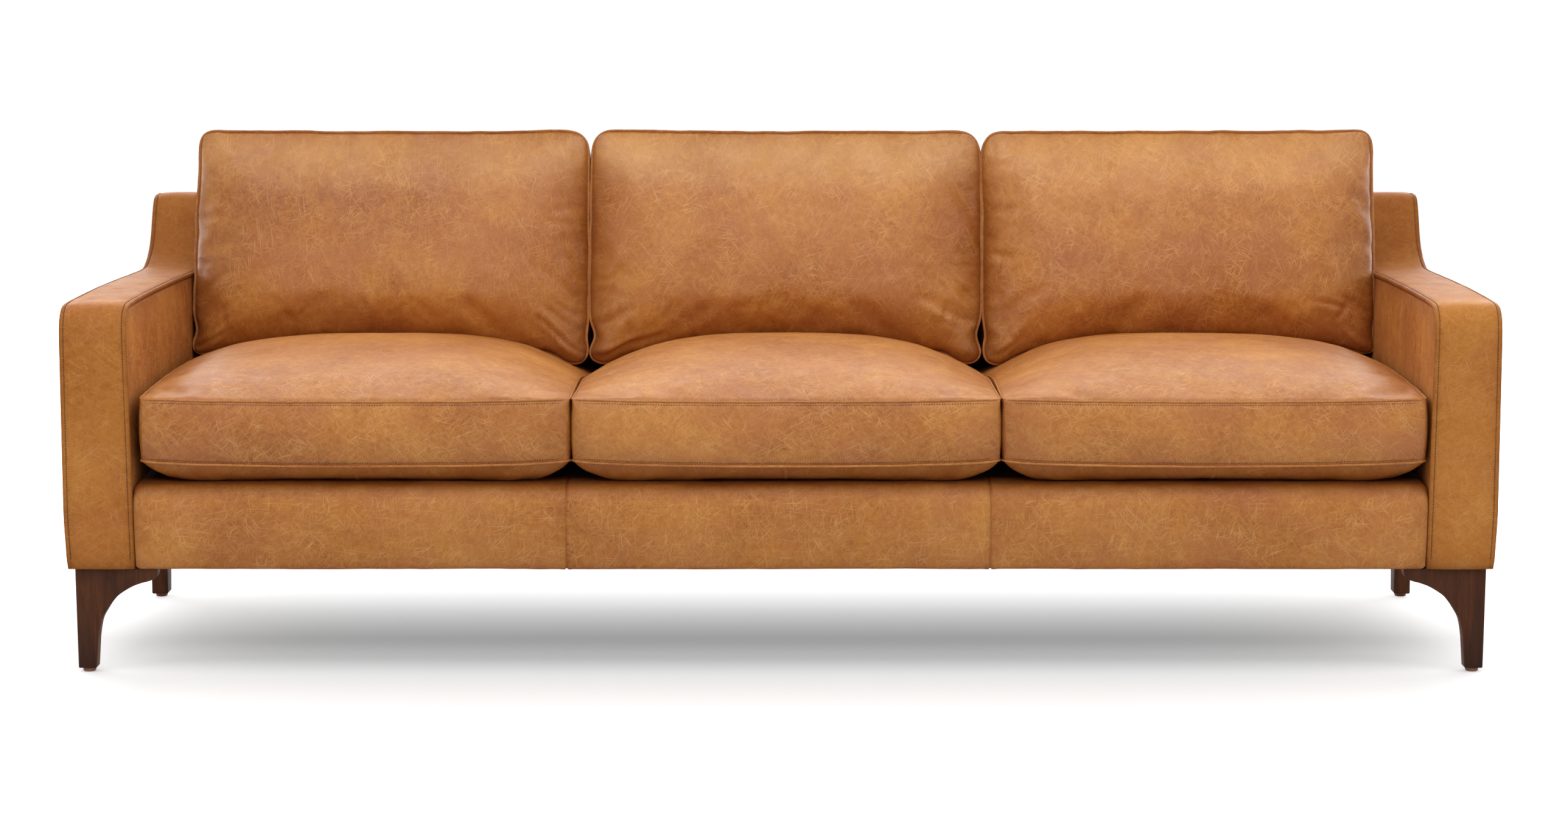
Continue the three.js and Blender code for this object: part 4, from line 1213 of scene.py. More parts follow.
def back_cushion(name, seed):
    xb0, xb1, xt0, xt1 = BACKS[name]
    hx = (xb1 - xb0) / 2
    box = Box(60, 44, 8, 0.03)
    hz = (BACK_TOP - BACK_LOW) / 2
    rnd = np.random.RandomState(seed)
    lean = rnd.uniform(-1, 1, 4)

    def outline(u, v):
        tight = (name == "left") & (u < 0) | (name == "right") & (u > 0)
        r = np.where(v < 0, 0.023, np.where(tight, 0.021, 0.033))
        px, pz = rounded(u, v, hx, hz, r)
        uu, vv = px / hx, pz / hz
        t = (vv + 1) / 2
        # the sides swell between the corners and are drawn tight at them
        x0 = xb0 + (xt0 - xb0) * t
        x1 = xb1 + (xt1 - xb1) * t
        swell = 0.0022 * np.sin(np.clip(t, 0, 1) * math.pi * 1.0) * np.abs(uu) ** 4 * np.sign(uu)
        x = (x0 + x1) / 2 + uu * (x1 - x0) / 2 + swell
        up = pz + hz
        for sd, waist, hitch in ((-1, WAIST[name][0], HITCH[name][0]), (1, WAIST[name][1], HITCH[name][1])):
            here = (uu * sd > 0).astype(float)
            x = x - sd * here * waist * np.exp(-(((up - 0.047) / 0.017) ** 2)) * np.abs(uu) ** 14
            x = x + sd * here * 0.0022 * np.exp(-(((up - 0.016) / 0.012) ** 2)) * np.abs(uu) ** 14
            pz = pz + here * hitch * np.exp(-((((1 - np.abs(uu)) * hx - 0.062) / 0.020) ** 2)) * np.clip(-vv, 0, 1) ** 12
        s = noise(np.stack([x * 17, pz * 17, uu * 0 + seed * 1.7], 1), 78)
        s2 = noise(np.stack([x * 42, pz * 42, uu * 0 + seed * 2.3], 1), 79)
        rim = np.maximum(np.abs(u), np.abs(v)) > 0.999
        x = x + rim * (np.abs(u) > 0.999) * (0.0018 * s + 0.0009 * s2)
        pz = pz + rim * (np.abs(v) > 0.999) * (0.0018 * s + 0.0012 * s2)
        # the top edge sags a little in the middle; its two ends stand unevenly
        pz = pz + np.where(v > 0, np.abs(vv) ** 3, 0.0) * (-0.0030 * (1 - np.abs(uu) ** 3) + 0.0012 * lean[0] * uu)
        return x, pz, uu, vv

    def place(u, v, front):
        x, pz, uu, vv = outline(u, v)
        t = np.clip((vv + 1) / 2, 0, 1)
        # the bottom edge hangs over the seat's shoulders at the ends and stands on its crown between
        base = np.maximum(BACK_LOW, crown_under(uu, 0.636, name) + 0.001) if front else crown_under(uu, 0.74, name) + 0.002
        z0 = BACK_LOW + (pz + hz)
        lift = (base - BACK_LOW) * np.maximum(0, 1 - t) ** 2.4
        z = z0 + lift
        if front:
            yf = back_front_y(z)
            d = 0.68 * dome(uu, 0.42) * dome(vv, 0.42) + 0.32 * np.maximum(0, 1 - np.minimum(1, uu**2 * 0.98 + vv**2 * 0.98)) ** 0.6
            d = d * (1 + 0.10 * lean[1] * uu + 0.12 * (0.3 - vv))
            ear = np.exp(-((((1 - np.abs(uu)) * hx - 0.024) ** 2 + ((1 + vv) * hz - 0.024) ** 2) / 0.026**2))
            # the face rolls over steeply near its edges and is nearly flat between
            du, dv = np.maximum(1 - np.abs(uu), 0) * hx, np.maximum(1 - np.abs(vv), 0) * hz
            roll = (1 - np.exp(-du / 0.034)) * (1 - np.exp(-dv / 0.030))
            yf = yf - 0.024 * d - 0.034 * roll - 0.008 * ear * (1 - np.exp(-du / 0.01)) * (1 - np.exp(-dv / 0.01))
        else:
            z = z - t * 0.040
            yf = rear_y(z) - 0.006 * (np.abs(uu) ** 6 + np.abs(vv) ** 6)
        return np.stack([x, Y(0) + yf, z], 1)

    def band(t, a, b, u, v):
        p = a * (1 - t) + b * t
        bulge = 0.006 * (1 - (2 * t - 1) ** 2)
        p[:, 0] += np.where(np.abs(u) > 0.999, np.sign(u), 0.0) * bulge * 0.35
        p[:, 2] += np.where(v > 0.999, 1.0, 0.0) * bulge
        return p

    verts, faces = box.build(lambda u, v: place(u, v, True), lambda u, v: place(u, v, False), band)
    o = mesh_object(f"{name}_back_cushion", verts, faces)
    return o, box, verts


def add_cloth(o, box, pressure, loose):
    vg = o.vertex_groups.new(name="pin")
    n = len(o.data.vertices)
    seam = set(box.rings[0].tolist()) | set(box.rings[-1].tolist())
    vg.add(sorted(seam), 1.0, "REPLACE")
    rest = [i for i in range(n) if i not in seam]
    vg.add(rest, 0.0, "REPLACE")
    c = o.modifiers.new("cloth", "CLOTH")
    s = c.settings
    s.quality = 6
    s.mass = 0.25
    s.air_damping = 2.0
    s.tension_stiffness = s.compression_stiffness = 28
    s.shear_stiffness = 14
    s.bending_stiffness = 1.2
    s.tension_damping = s.compression_damping = s.shear_damping = 12
    s.use_pressure = True
    s.uniform_pressure_force = pressure
    s.vertex_group_mass = "pin"
    s.pin_stiffness = 1.0
    s.shrink_min = -loose
    s.effector_weights.gravity = 0.0
    c.collision_settings.use_collision = False
    c.collision_settings.use_self_collision = False
    c.point_cache.frame_start = 1
    c.point_cache.frame_end = 24


cushions = {}
for k, name in enumerate(("left", "centre", "right")):
    cushions[f"{name}_seat"] = seat_cushion(name, 101 + k)
    cushions[f"{name}_back"] = back_cushion(name, 201 + k)

for key, (o, box, verts) in cushions.items():
    add_cloth(o, box, 2.2 if key.endswith("seat") else 1.8, 0.006 if key.endswith("seat") else 0.010)
SCENE.frame_start, SCENE.frame_end = 1, 24
for f in range(1, 25):
    SCENE.frame_set(f)
dg = bpy.context.evaluated_depsgraph_get()
for key, (o, box, verts) in cushions.items():
    ev = o.evaluated_get(dg)
    me = ev.to_mesh()
    co = get_co(me)
    ev.to_mesh_clear()
    o.modifiers.clear()
    o.vertex_groups.clear()
    d = co - verts
    dist = np.linalg.norm(d, axis=1, keepdims=True)
    cap = 0.0035 if key.endswith("seat") else 0.010
    co = verts + d * np.minimum(1, cap / np.maximum(dist, 1e-9))
    print("cloth", key, "mean move %.1f mm, most %.1f mm" % (dist.mean() * 1000, dist.max() * 1000))
    set_co(o.data, co)
SCENE.frame_set(1)


def creases(co, lines):
    """Soft folds: each line is (p0, p1, width, depth) in the panel's own metres."""
    out = np.zeros(len(co))
    for p0, p1, w, depth in lines:
        p0, p1 = np.array(p0), np.array(p1)
        d = p1 - p0
        L = np.linalg.norm(d)
        t = np.clip(((co - p0) @ d) / (L * L), 0, 1)
        q = p0 + t[:, None] * d
        dist = np.linalg.norm(co - q, axis=1)
        out += depth * np.exp(-((dist / w) ** 2)) * np.sin(np.clip(t, 0, 1) * math.pi) ** 0.5
        out -= 0.55 * depth * np.exp(-(((dist - 1.7 * w) / (1.1 * w)) ** 2)) * np.sin(np.clip(t, 0, 1) * math.pi) ** 0.5
    return out


SEAT_MATS = {n: leather(f"seat_leather_{n}", 60 + i, rough=0.43, gloss=0.42, mottle=0.85, fibre=0.75, tone=1.05, warm=0.3) for i, n in enumerate(("left", "centre", "right"))}
BACK_MATS = {n: leather(f"back_leather_{n}", 80 + i, rough=0.36, gloss=0.46, fibre=0.85, tone=(0.985, 1.0, 1.035)[i], mottle=0.9, warm=1.0) for i, n in enumerate(("left", "centre", "right"))}
WELT = leather("welt_leather", 97, tone=1.04, fibre=0.5, rough=0.5)

for key, (o, box, verts) in cushions.items():
    name, kind = key.split("_")
    seat = kind == "seat"
    x0, x1 = (SEATS if seat else BACKS)[name][:2]
    hx = (x1 - x0) / 2
    hy = (SEAT_Y1 - SEAT_Y0) / 2 if seat else (BACK_TOP - BACK_LOW) / 2
    seed = sum(map(ord, key))
    set_attr(o, "pu", box.u)
    set_attr(o, "pv", box.v)
    set_attr(o, "part", box.part)
    set_attr(o, "bt", box.t)
    seam_a, seam_b = box.rings[0], box.rings[-1]
    L = box.L
    subdivide(o, 1)
    me = o.data
    co, no = get_co(me), get_no(me)
    u, v, part, bt = (get_attr(me, a) for a in ("pu", "pv", "part", "bt"))
    du, dv = (1 - np.abs(u)) * hx, (1 - np.abs(v)) * hy
    panel = np.clip(1 - np.abs(part - np.round(part)) * 4, 0, 1) * (bt < 0.02)
    # puckers that run in from the seams, strongest by the corners
    amp = 0.0007 if seat else 0.0011
    disp = np.zeros(len(co))
    for d, s, sd, hh in ((du, co[:, 1] if seat else co[:, 2], 1, hy), (dv, co[:, 0], 2, hx)):
        other = dv if sd == 1 else du
        corner = 0.5 + 1.6 * np.exp(-other / 0.07)
        wave = noise1(s / 0.017 + seed, seed + sd) + 0.5 * noise1(s / 0.034 + seed, seed + 7 + sd)
        disp += amp * corner * wave * np.exp(-d / 0.024) * smooth(d / 0.004)
    disp *= panel
    disp += 0.0010 * fbm(co * 13 + seed, seed, 2) * np.clip(np.minimum(du, dv) / 0.03, 0, 1) * panel
    disp += 0.0004 * noise(co * 52 + seed, seed + 3) * np.clip(np.minimum(du, dv) / 0.01, 0, 1)
    # boxing: shallow upright ripples
    boxing = ((bt > 0.02) & (bt < 0.98)).astype(float) * np.sin(np.clip(bt, 0, 1) * math.pi)
    disp += 0.0006 * boxing * noise1((co[:, 0] + co[:, 1]) / 0.028 + seed, seed + 9)
    if not seat:
        # soft folds that run from the lower corners and the sides into the face
        rnd = np.random.RandomState(seed)
        folds = []
        for sx in (-1, 1):
            for k in range(4):
                a0 = np.array([sx * (1 - rnd.uniform(0.004, 0.02)), -1 + rnd.uniform(0.02, 0.55) if k else -0.93])
                ang = rnd.uniform(0.15, 0.95)
                L = rnd.uniform(0.05, 0.13)
                a1 = a0 + np.array([-sx * L * math.cos(ang) / hx, L * math.sin(ang) * 0.8 / hy])
                folds.append((a0 * (hx, hy), a1 * (hx, hy), rnd.uniform(0.005, 0.010), -rnd.uniform(0.0014, 0.0034)))
            for k in range(3):
                a0 = np.array([sx * 0.99, rnd.uniform(-0.3, 0.85)])
                L = rnd.uniform(0.03, 0.07)
                a1 = a0 + np.array([-sx * L / hx, rnd.uniform(-0.2, 0.3) * L / hy])
                folds.append((a0 * (hx, hy), a1 * (hx, hy), rnd.uniform(0.005, 0.009), -rnd.uniform(0.0009, 0.0022)))
        for k in range(9):
            a0 = np.array([rnd.uniform(-0.85, 0.85), -1 + rnd.uniform(0.15, 0.28)])
            L = rnd.uniform(0.022, 0.055)
            a1 = a0 + np.array([rnd.uniform(-0.5, 0.5) * L / hx, L / hy])
            folds.append((a0 * (hx, hy), a1 * (hx, hy), rnd.uniform(0.004, 0.008), -rnd.uniform(0.0012, 0.0028)))
        for k in range(8):
            a0 = np.array([rnd.uniform(-0.9, 0.9), 0.992])
            L = rnd.uniform(0.012, 0.035)
            a1 = a0 + np.array([rnd.uniform(-0.5, 0.5) * L / hx, -L / hy])
            folds.append((a0 * (hx, hy), a1 * (hx, hy), rnd.uniform(0.005, 0.010), -rnd.uniform(0.0006, 0.0016)))
        disp += creases(np.stack([u * hx, v * hy], 1), folds) * (bt < 0.02)
    co = co + no * disp[:, None]
    # keep off the neighbours, the deck and the inside back
    lim0 = {"left": -1.0104, "centre": -0.3290, "right": 0.3448}[name]
    lim1 = {"left": -0.3294, "centre": 0.3444, "right": 1.0185}[name]
    if seat:
        lim0 = {"left": -1.0012, "centre": -0.3262, "right": 0.3442}[name]
        lim1 = {"left": -0.3266, "centre": 0.3438, "right": 1.0072}[name]
    above = smooth((co[:, 2] - 0.690) / 0.02) * 0.0015 if key == "right_back" else 0.0
    co[:, 0] = np.clip(co[:, 0], lim0, lim1 + above)
    if seat:
        co[:, 2] = np.maximum(co[:, 2], DECK + 0.0002 * noise(co * 40, 3))
    else:
        ry = Y(0) + rear_y(co[:, 2])
        co[:, 1] = np.minimum(co[:, 1], ry)
    set_co(me, co)
    e = np.minimum(du, dv)
    if seat:
        # top panel edges burnished darker; painted shade on the lower boxing and its sides, on the top towards the back
        # cushions, and on the bottom panel
        burnish_and_shade = np.where(bt < 0.02, 0.20 * np.exp(-e / 0.02), 0.0)
        burnish_and_shade = burnish_and_shade + np.where(bt > 0.02, 0.36 * smooth((bt - 0.60) / 0.6), 0)
        burnish_and_shade = burnish_and_shade + 0.30 * np.exp(-du / 0.03) * (bt > 0.02) + 0.25 * smooth((v - 0.2) / 0.8) * (bt < 0.02)
        burnish_and_shade = np.where(bt > 0.98, 0.5, burnish_and_shade)
    else:
        # sides burnished darker with painted shade on their roll; painted shade along the bottom edge, over the lower
        # part (set per cushion), and on the boxing and rear panel
        low = smooth((-0.25 - v) / 0.75)
        burnish_and_shade = 0.36 * np.exp(-du / 0.018) + 0.10 * np.exp(-dv / 0.02) * (v > 0) + 0.30 * np.exp(-dv / 0.03) * (v < 0) + {"left": 0.05, "centre": 0.08, "right": 0.0}[name] * low + 0.30 * np.exp(-du / 0.050) * smooth((0.9 - v) / 0.6)
        burnish_and_shade = np.where(bt > 0.02, 0.55, burnish_and_shade)
    set_attr(o, "burnish_and_shade", np.clip(burnish_and_shade, 0, 0.85))
    if not seat:
        # painted sheen: paler towards the top of each back cushion, standing in for its highlight
        painted_sheen = 0.34 * smooth((v - 0.40) / 0.5) * (1 - np.exp(-dv / 0.010)) * (1 - 0.7 * np.exp(-du / 0.02)) * (bt < 0.02)
        set_attr(o, "painted_sheen", painted_sheen * {"left": 0.85, "centre": 1.25, "right": 0.8}[name])
    for a in ("pu", "pv", "part", "bt"):
        me.attributes.remove(me.attributes[a])
    # each panel is one flat piece of hide, the boxing strip is laid along its own sides
    fv = np.zeros(len(me.loops), np.int32)
    me.loops.foreach_get("vertex_index", fv)
    starts = np.zeros(len(me.polygons), np.int32)
    me.polygons.foreach_get("loop_start", starts)
    tot = np.zeros(len(me.polygons), np.int32)
    me.polygons.foreach_get("loop_total", tot)
    across = np.add.reduceat(bt[fv], starts) / tot
    flat_face = (across < 0.004) | (across > 0.996)
    main = 2 if seat else 1
    barred = np.zeros((len(starts), 3), bool)
    for axis in range(3):
        barred[:, axis] = np.where(flat_face, axis != main, axis == main)
    skin(o, None, (seed % 17) * 0.9, barred)
    mats = SEAT_MATS if seat else BACK_MATS
    me.materials.clear()
    me.materials.append(mats[name])
    body = f"{name}_{kind}_cushion"
    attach(o, body)
    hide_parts(f"{name}_{kind}_cover", f"{name}_{kind}_core")
    # seams: after one subdivision the first vertices keep their numbers
    no = get_no(me)
    pa, na = co[seam_a], no[seam_a]
    pb, nb_ = co[seam_b], no[seam_b]

    def fine(p, n, step=0.006):
        c = np.vstack([p, p[:1]])
        cn = np.vstack([n, n[:1]])
        s = np.concatenate([[0], np.cumsum(np.linalg.norm(np.diff(c, axis=0), axis=1))])
        t = np.linspace(0, s[-1], int(s[-1] / step) + 1)[:-1]
        P = np.stack([np.interp(t, s, c[:, k]) for k in range(3)], 1)
        # soften the polyline's corners
        for _ in range(2):
            P = 0.5 * P + 0.25 * (np.roll(P, 1, 0) + np.roll(P, -1, 0))
        N = np.stack([np.interp(t, s, cn[:, k]) for k in range(3)], 1)
        return P, N

    PA, NA = fine(pa, na)
    PB, NB = fine(pb, nb_)
    if seat:
        w1 = cord_along(f"{name}_seat_top_welt", PA, NA, 0.0017, 0.0015, WELT, lift=0.0005, seed=seed)
        w2 = cord_along(f"{name}_seat_bottom_welt", PB, NB, 0.0024, 0.0019, WELT, lift=0.0010, seed=seed + 1)
    else:
        w1 = cord_along(f"{name}_back_front_welt", PA, NA, 0.0029, 0.0016, WELT, lift=0.0014, seed=seed)
        w2 = cord_along(f"{name}_back_rear_welt", PB, NB, 0.0024, 0.0020, WELT, lift=0.0006, seed=seed + 1)
    for w in (w1, w2):
        # back welts painted darker as shade in the gaps between cushions
        set_attr(w, "burnish_and_shade", np.full(len(w.data.vertices), 0.05 if seat else 0.42))
        skin(w, None, 1.1)
        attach(w, body)
    if not seat:
        # rows of thread on the face, close beside the welt
        g = box
        inner = co[box.rings[0]]
        mid_face = np.array([(x0 + x1) / 2, co[box.rings[0], 1].mean(), (BACK_LOW + BACK_TOP) / 2])
        toward = mid_face - inner
        toward[:, 1] = 0
        toward /= np.linalg.norm(toward, axis=1, keepdims=True)
        face_no = no[box.rings[0]] * 0.6 + np.array([0.0, -0.8, 0.0])
        face_no /= np.linalg.norm(face_no, axis=1, keepdims=True)
        P, N = fine(inner + na * 0.0030, face_no, 0.008)
        row = stitches(f"{name}_back_stitching", [(np.vstack([P, P[:1]]), np.vstack([N, N[:1]]))], THREAD_WITH_HOLE_SHADE, lift=0.0004, r=0.0005)
        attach(row, body)
    # thread beside the seams, on the boxing
    rings = box.rings
    runs = []
    if seat:
        r0, r1, rl, rm = co[rings[0]], co[rings[1]], co[rings[-1]], co[rings[-2]]
        n0, n1 = no[rings[1]], no[rings[-2]]
        for pa_, pb_, nn, dist in ((r0, r1, n0, 0.0052), (rl, rm, n1, 0.0050)):
            d = pb_ - pa_
            d /= np.linalg.norm(d, axis=1, keepdims=True)
            P = pa_ + d * dist
            P, N = fine(P, nn, 0.008)
            runs.append((np.vstack([P, P[:1]]), np.vstack([N, N[:1]])))
        st = stitches(f"{name}_seat_stitching", runs, THREAD_WITH_HOLE_SHADE, lift=0.0006)
        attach(st, body)
        line = [box.G + (box.nx // 2) * (box.ny + 1) + j for j in range(0, 9)]
        P = resample(co[line], 0.004)
        N = np.tile([0.0, -0.6, -0.8], (len(P), 1))
        for sd in (-1, 1):
            lap = cord_along(f"{name}_seat_bottom_lap_{'a' if sd < 0 else 'b'}", P + np.array([sd * 0.0011, 0, 0]), N, 0.0011, 0.0010, mats[name], closed=False, seed=seed + 5 + sd)
            # painted shade: the lap under the seat darker
            set_attr(lap, "burnish_and_shade", np.full(len(lap.data.vertices), 0.25))
            skin(lap, None, 1.3)
            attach(lap, body)

# ------------------------------------------------------------------ legs
def prism(name, outline, y0, y1, mat, bevel=0.0022, axis="Y"):
    """An outline in (x, z), or (y, z) for axis X, extruded, with its long edges eased."""
    import bmesh

    pts = np.asarray(outline, float)
    n = len(pts)
    if axis == "Y":
        a = np.stack([pts[:, 0], np.full(n, y0), pts[:, 1]], 1)
        b = np.stack([pts[:, 0], np.full(n, y1), pts[:, 1]], 1)
    else:
        a = np.stack([np.full(n, y0), pts[:, 0], pts[:, 1]], 1)
        b = np.stack([np.full(n, y1), pts[:, 0], pts[:, 1]], 1)
    verts = np.vstack([a, b])
    faces = [tuple(range(n)), tuple(range(2 * n - 1, n - 1, -1))]
    faces += [(i, (i + 1) % n, (i + 1) % n + n, i + n) for i in range(n)]
    o = mesh_object(name, verts, faces, mat, smooth_shade=False)
    fix_normals(o)
    m = o.modifiers.new("bevel", "BEVEL")
    m.width = bevel
    m.segments = 3
    m.limit_method = "ANGLE"
    m.angle_limit = math.radians(35)
    m.harden_normals = False
    bake_modifiers(o)
    return o


front_leg_pts = [
    (1.0935, 0.0065), (1.0955, 0.1652), (0.9665, 0.1652), (0.9668, 0.1590), (0.9680, 0.1530), (0.9705, 0.1492), (0.9745, 0.1466), (0.9835, 0.1436), (0.993, 0.1412),
    (1.0065, 0.1360), (1.0200, 0.1282), (1.0310, 0.1200), (1.0405, 0.1092), (1.0485, 0.0970), (1.0555, 0.0845), (1.0592, 0.0700), (1.0616, 0.0540), (1.0650, 0.0065),
]
LEG_Y0, LEG_Y1 = 0.012, 0.040
for side, s in (("left", -1), ("right", 1)):
    pts = np.array(front_leg_pts)
    arc = catmull(pts[2:17], 3)
    pts = np.vstack([pts[:2], arc, pts[17:]])
    pts[:, 0] = s * (pts[:, 0] + 0.0075)
    mat = walnut_material(f"walnut_front_{side}", "Z", 5 + s)
    leg = prism(f"{side}_front_bracket_leg", pts, Y(LEG_Y0), Y(LEG_Y1), mat, 0.0026)
    co = get_co(leg.data)
    x, z, yy = np.abs(co[:, 0]), co[:, 2], co[:, 1] - Y(0)
    edge = np.minimum(yy - LEG_Y0, LEG_Y1 - yy)
    # darker on the end faces and edges; painted shade towards the floor
    set_attr(leg, "burnish_and_shade", 0.7 * np.exp(-np.maximum(edge, 0) / 0.0022) + 0.35 * np.exp(-np.maximum(z - 0.007, 0) / 0.010))
    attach(leg, "frame")
    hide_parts(f"{side}_front_leg")
    rp = [(Y(0.658), 0.0065), (Y(0.6965), 0.0065), (Y(0.715), 0.1652), (Y(0.658), 0.1652)]
    mat = walnut_material(f"walnut_rear_{side}", "Z", 9 + s)
    leg = prism(f"{side}_rear_post_leg", rp, s * 1.070, s * 1.098, mat, 0.0026, axis="X")
    co = get_co(leg.data)
    x = np.abs(co[:, 0])
    edge = np.minimum(x - 1.070, 1.098 - x)
    # darker on the end faces and edges; painted shade towards the floor
    set_attr(leg, "burnish_and_shade", 0.7 * np.exp(-np.maximum(edge, 0) / 0.0022) + 0.35 * np.exp(-np.maximum(co[:, 2] - 0.007, 0) / 0.010))
    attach(leg, "frame")
    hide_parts(f"{side}_rear_leg")
    for end in ("front", "rear"):
        node = f"{side}_{end}_glide"
        lo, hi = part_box(node)
        c = (lo + hi) / 2
        prof = [(0, 0), (7.6, 0), (8.8, 0.35), (9.7, 1.1), (10.1, 2.0), (10.2, 4.2), (9.9, 5.2), (9.2, 6.0), (8.9, 6.6), (0, 6.6)]
        rings = []
        seg = 36
        verts, faces = [], []
        for r, z in prof:
            for k in range(seg):
                a = 2 * math.pi * k / seg
                verts.append((c.x + r / 1000 * math.cos(a), c.y + r / 1000 * math.sin(a), lo.z + z / 1000))
        for i in range(1, len(prof) - 2):
            for k in range(seg):
                j = (k + 1) % seg
                faces.append((i * seg + k, i * seg + j, (i + 1) * seg + j, (i + 1) * seg + k))
        faces.append(tuple(reversed([1 * seg + k for k in range(seg)])))
        faces.append(tuple((len(prof) - 2) * seg + k for k in range(seg)))
        used = sorted({i for f in faces for i in f})
        remap = {o_: n_ for n_, o_ in enumerate(used)}
        g = mesh_object(f"{side}_{end}_foot_glide", [verts[i] for i in used], [tuple(remap[i] for i in f) for f in faces])
        fix_normals(g)
        g.data.materials.append(bpy.data.materials.get("glide_plastic") or plastic_material("glide_plastic", lin(84, 38, 26), lin(118, 60, 42)))
        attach(g, "frame")
        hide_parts(node)


# ------------------------------------------------------------------ back, inside and out
def slab(name, grid_out, grid_in, mat, burnish_and_shade=None):
    """A closed sheet from two matching grids (nu, nv, 3)."""
    nu, nv = grid_out.shape[:2]
    N = nu * nv
    verts = np.vstack([grid_out.reshape(-1, 3), grid_in.reshape(-1, 3)])
    faces = grid_faces(nu, nv) + grid_faces(nu, nv, base=N, flip=True)
    rim = [(i, 0) for i in range(nu)] + [(nu - 1, j) for j in range(1, nv)] + [(i, nv - 1) for i in range(nu - 2, -1, -1)] + [(0, j) for j in range(nv - 2, 0, -1)]
    ids = [i * nv + j for i, j in rim]
    for k in range(len(ids)):
        p, q = ids[k], ids[(k + 1) % len(ids)]
        faces.append((p, p + N, q + N, q))
    o = mesh_object(name, verts, faces, mat)
    fix_normals(o)
    if burnish_and_shade is not None:
        set_attr(o, "burnish_and_shade", np.concatenate([burnish_and_shade.ravel()] * 2))
    skin(o, None, 5.5)
    return o


# inside back: padded, with two upright seams, over the top rail
lo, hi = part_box("inside_back_pad")
xs = np.unique(np.concatenate([np.linspace(-1.0035, 1.0035, 190)] + [c + np.array([-0.01, -0.006, -0.003, -0.0012, 0, 0.0012, 0.003, 0.006, 0.01]) for c in (-0.335, 0.335)]))
ts = np.linspace(0, 1, 44)
z = lo.z + 0.002 + (hi.z + 0.002 - lo.z) * ts
go = np.zeros((len(xs), len(ts), 3))
gi = np.zeros_like(go)
for i, x in enumerate(xs):
    ds = min(abs(x - c) for c in (-0.335, 0.335))
    de = 1.0035 - abs(x)
    base_y = 0.7758 + (z - 0.2966) * 0.2584
    et = np.minimum(ts, 1 - ts) * 0.38
    puff = 0.006 * (1 - math.exp(-ds / 0.02)) * (1 - np.exp(-et / 0.02)) * (1 - math.exp(-de / 0.015))
    roll = 0.014 * np.maximum(0, (ts - 0.965) / 0.035) ** 2
    wide = x * (1 + (0.0095 if x > 0 else 0.001) * np.clip((z - 0.30) / 0.35, 0, 1))
    go[i] = np.stack([wide, Y(0) + base_y + 0.0065 - puff + roll, z], 1)
    gi[i] = np.stack([wide, Y(0) + base_y + 0.0195, z], 1)
ib = slab("inside_back_leather", go, gi, leather("inside_back_leather", 51), np.full((len(xs), len(ts)), 0.25))
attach(ib, "frame")
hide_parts("inside_back_pad")

# outside back: one skin from the bottom edge over the top to the inside back
BS = (0.950 - 0.8236) / (0.6829 - BASE_Z)
prof = []
for t in np.linspace(0, 1, 44):
    zz = BASE_Z + 0.0006 + t * (0.6790 - BASE_Z)
    prof.append((0.8236 + (zz - BASE_Z) * BS, zz))
prof += [(0.9496, 0.6825), (0.9485, 0.6862), (0.9450, 0.6890), (0.9380, 0.6904), (0.9250, 0.6910), (0.9080, 0.6904), (0.8960, 0.6890), (0.8900, 0.6860), (0.8880, 0.6815)]
prof = np.array(prof)
t2 = np.gradient(prof, axis=0)
t2 /= np.linalg.norm(t2, axis=1, keepdims=True)
n2 = np.stack([t2[:, 1], -t2[:, 0]], 1)
XB = 1.1165
OUT_SEAMS = (-0.372, 0.372)
xs = np.unique(np.concatenate([np.linspace(-XB, XB, 220)] + [c + np.array([-0.012, -0.008, -0.005, -0.003, -0.0012, 0, 0.0012, 0.003, 0.005, 0.008, 0.012]) for c in OUT_SEAMS] + [np.array([s * (XB - d) for s in (-1, 1) for d in (0.001, 0.003, 0.006, 0.0085, 0.010)])]))
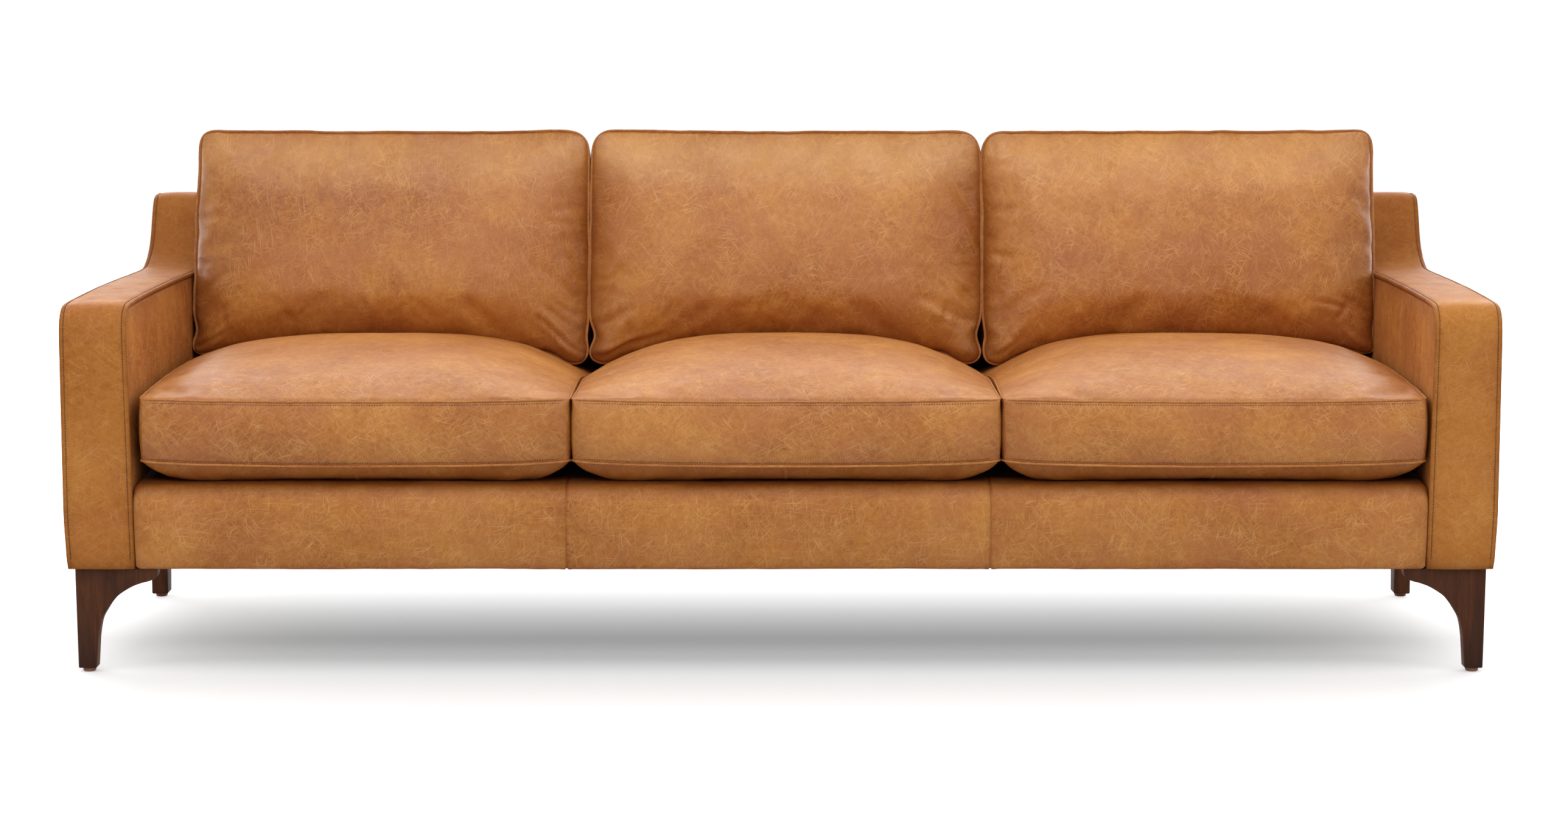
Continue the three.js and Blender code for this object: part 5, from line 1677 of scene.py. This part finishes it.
go = np.zeros((len(xs), len(prof), 3))
gi = np.zeros_like(go)
burnish_shade_mask = np.zeros((len(xs), len(prof)))
sarc = np.concatenate([[0], np.cumsum(np.linalg.norm(np.diff(prof, axis=0), axis=1))])
body_of_panel = np.clip((0.6785 - prof[:, 1]) / 0.02, 0, 1) * np.clip((prof[:, 1] - BASE_Z) / 0.02, 0, 1)
for i, x in enumerate(xs):
    ds = min(abs(x - c) for c in OUT_SEAMS)
    de = XB - abs(x)
    p = np.stack([np.full(len(prof), x * 8.0), sarc * 9, np.full(len(prof), 0.7)], 1)
    h = (0.0022 * (1 - math.exp(-de / 0.02)) + 0.0010 * fbm(p, 55) + 0.0004 * noise(p * 5, 57)) * body_of_panel
    h = h - 0.0016 * math.exp(-((ds / 0.0016) ** 2)) + 0.0006 * math.exp(-(((ds - 0.005) / 0.004) ** 2))
    h = h - 0.006 * max(0.0, 1 - de / 0.006) ** 2
    # the arms' strips carry the top outside the back's own width
    on_arm = abs(x) > 1.012
    h = h - (0.0035 if on_arm else 0.0) * (prof[:, 1] > 0.6795)
    k = smooth((abs(x) - 0.3) / (XB - 0.3)) if abs(x) > 0.3 else 0.0
    sd = 1 if x >= 0 else -1
    full_x = np.array([splay(XB, zz, sd, yy_) - sd * XB for yy_, zz in prof])
    xx = x + full_x * k
    go[i] = np.stack([xx, Y(0) + prof[:, 0] + n2[:, 0] * h, prof[:, 1] + n2[:, 1] * h], 1)
    gi[i] = go[i].copy()
    gi[i, :, 1] -= n2[:, 0] * 0.0042
    gi[i, :, 2] -= n2[:, 1] * 0.0042
    # darker at the seams; painted shade at the foot and at the ends
    burnish_shade_mask[i] = 0.45 * np.exp(-(prof[:, 1] - BASE_Z) / 0.012) + 0.4 * math.exp(-de / 0.012) + 0.2 * math.exp(-ds / 0.006)
ob = slab("outside_back_leather", go, gi, leather("outside_back_leather", 53, rough=0.48), np.clip(burnish_shade_mask, 0, 0.8))
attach(ob, "frame")
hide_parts("outside_back_cover")
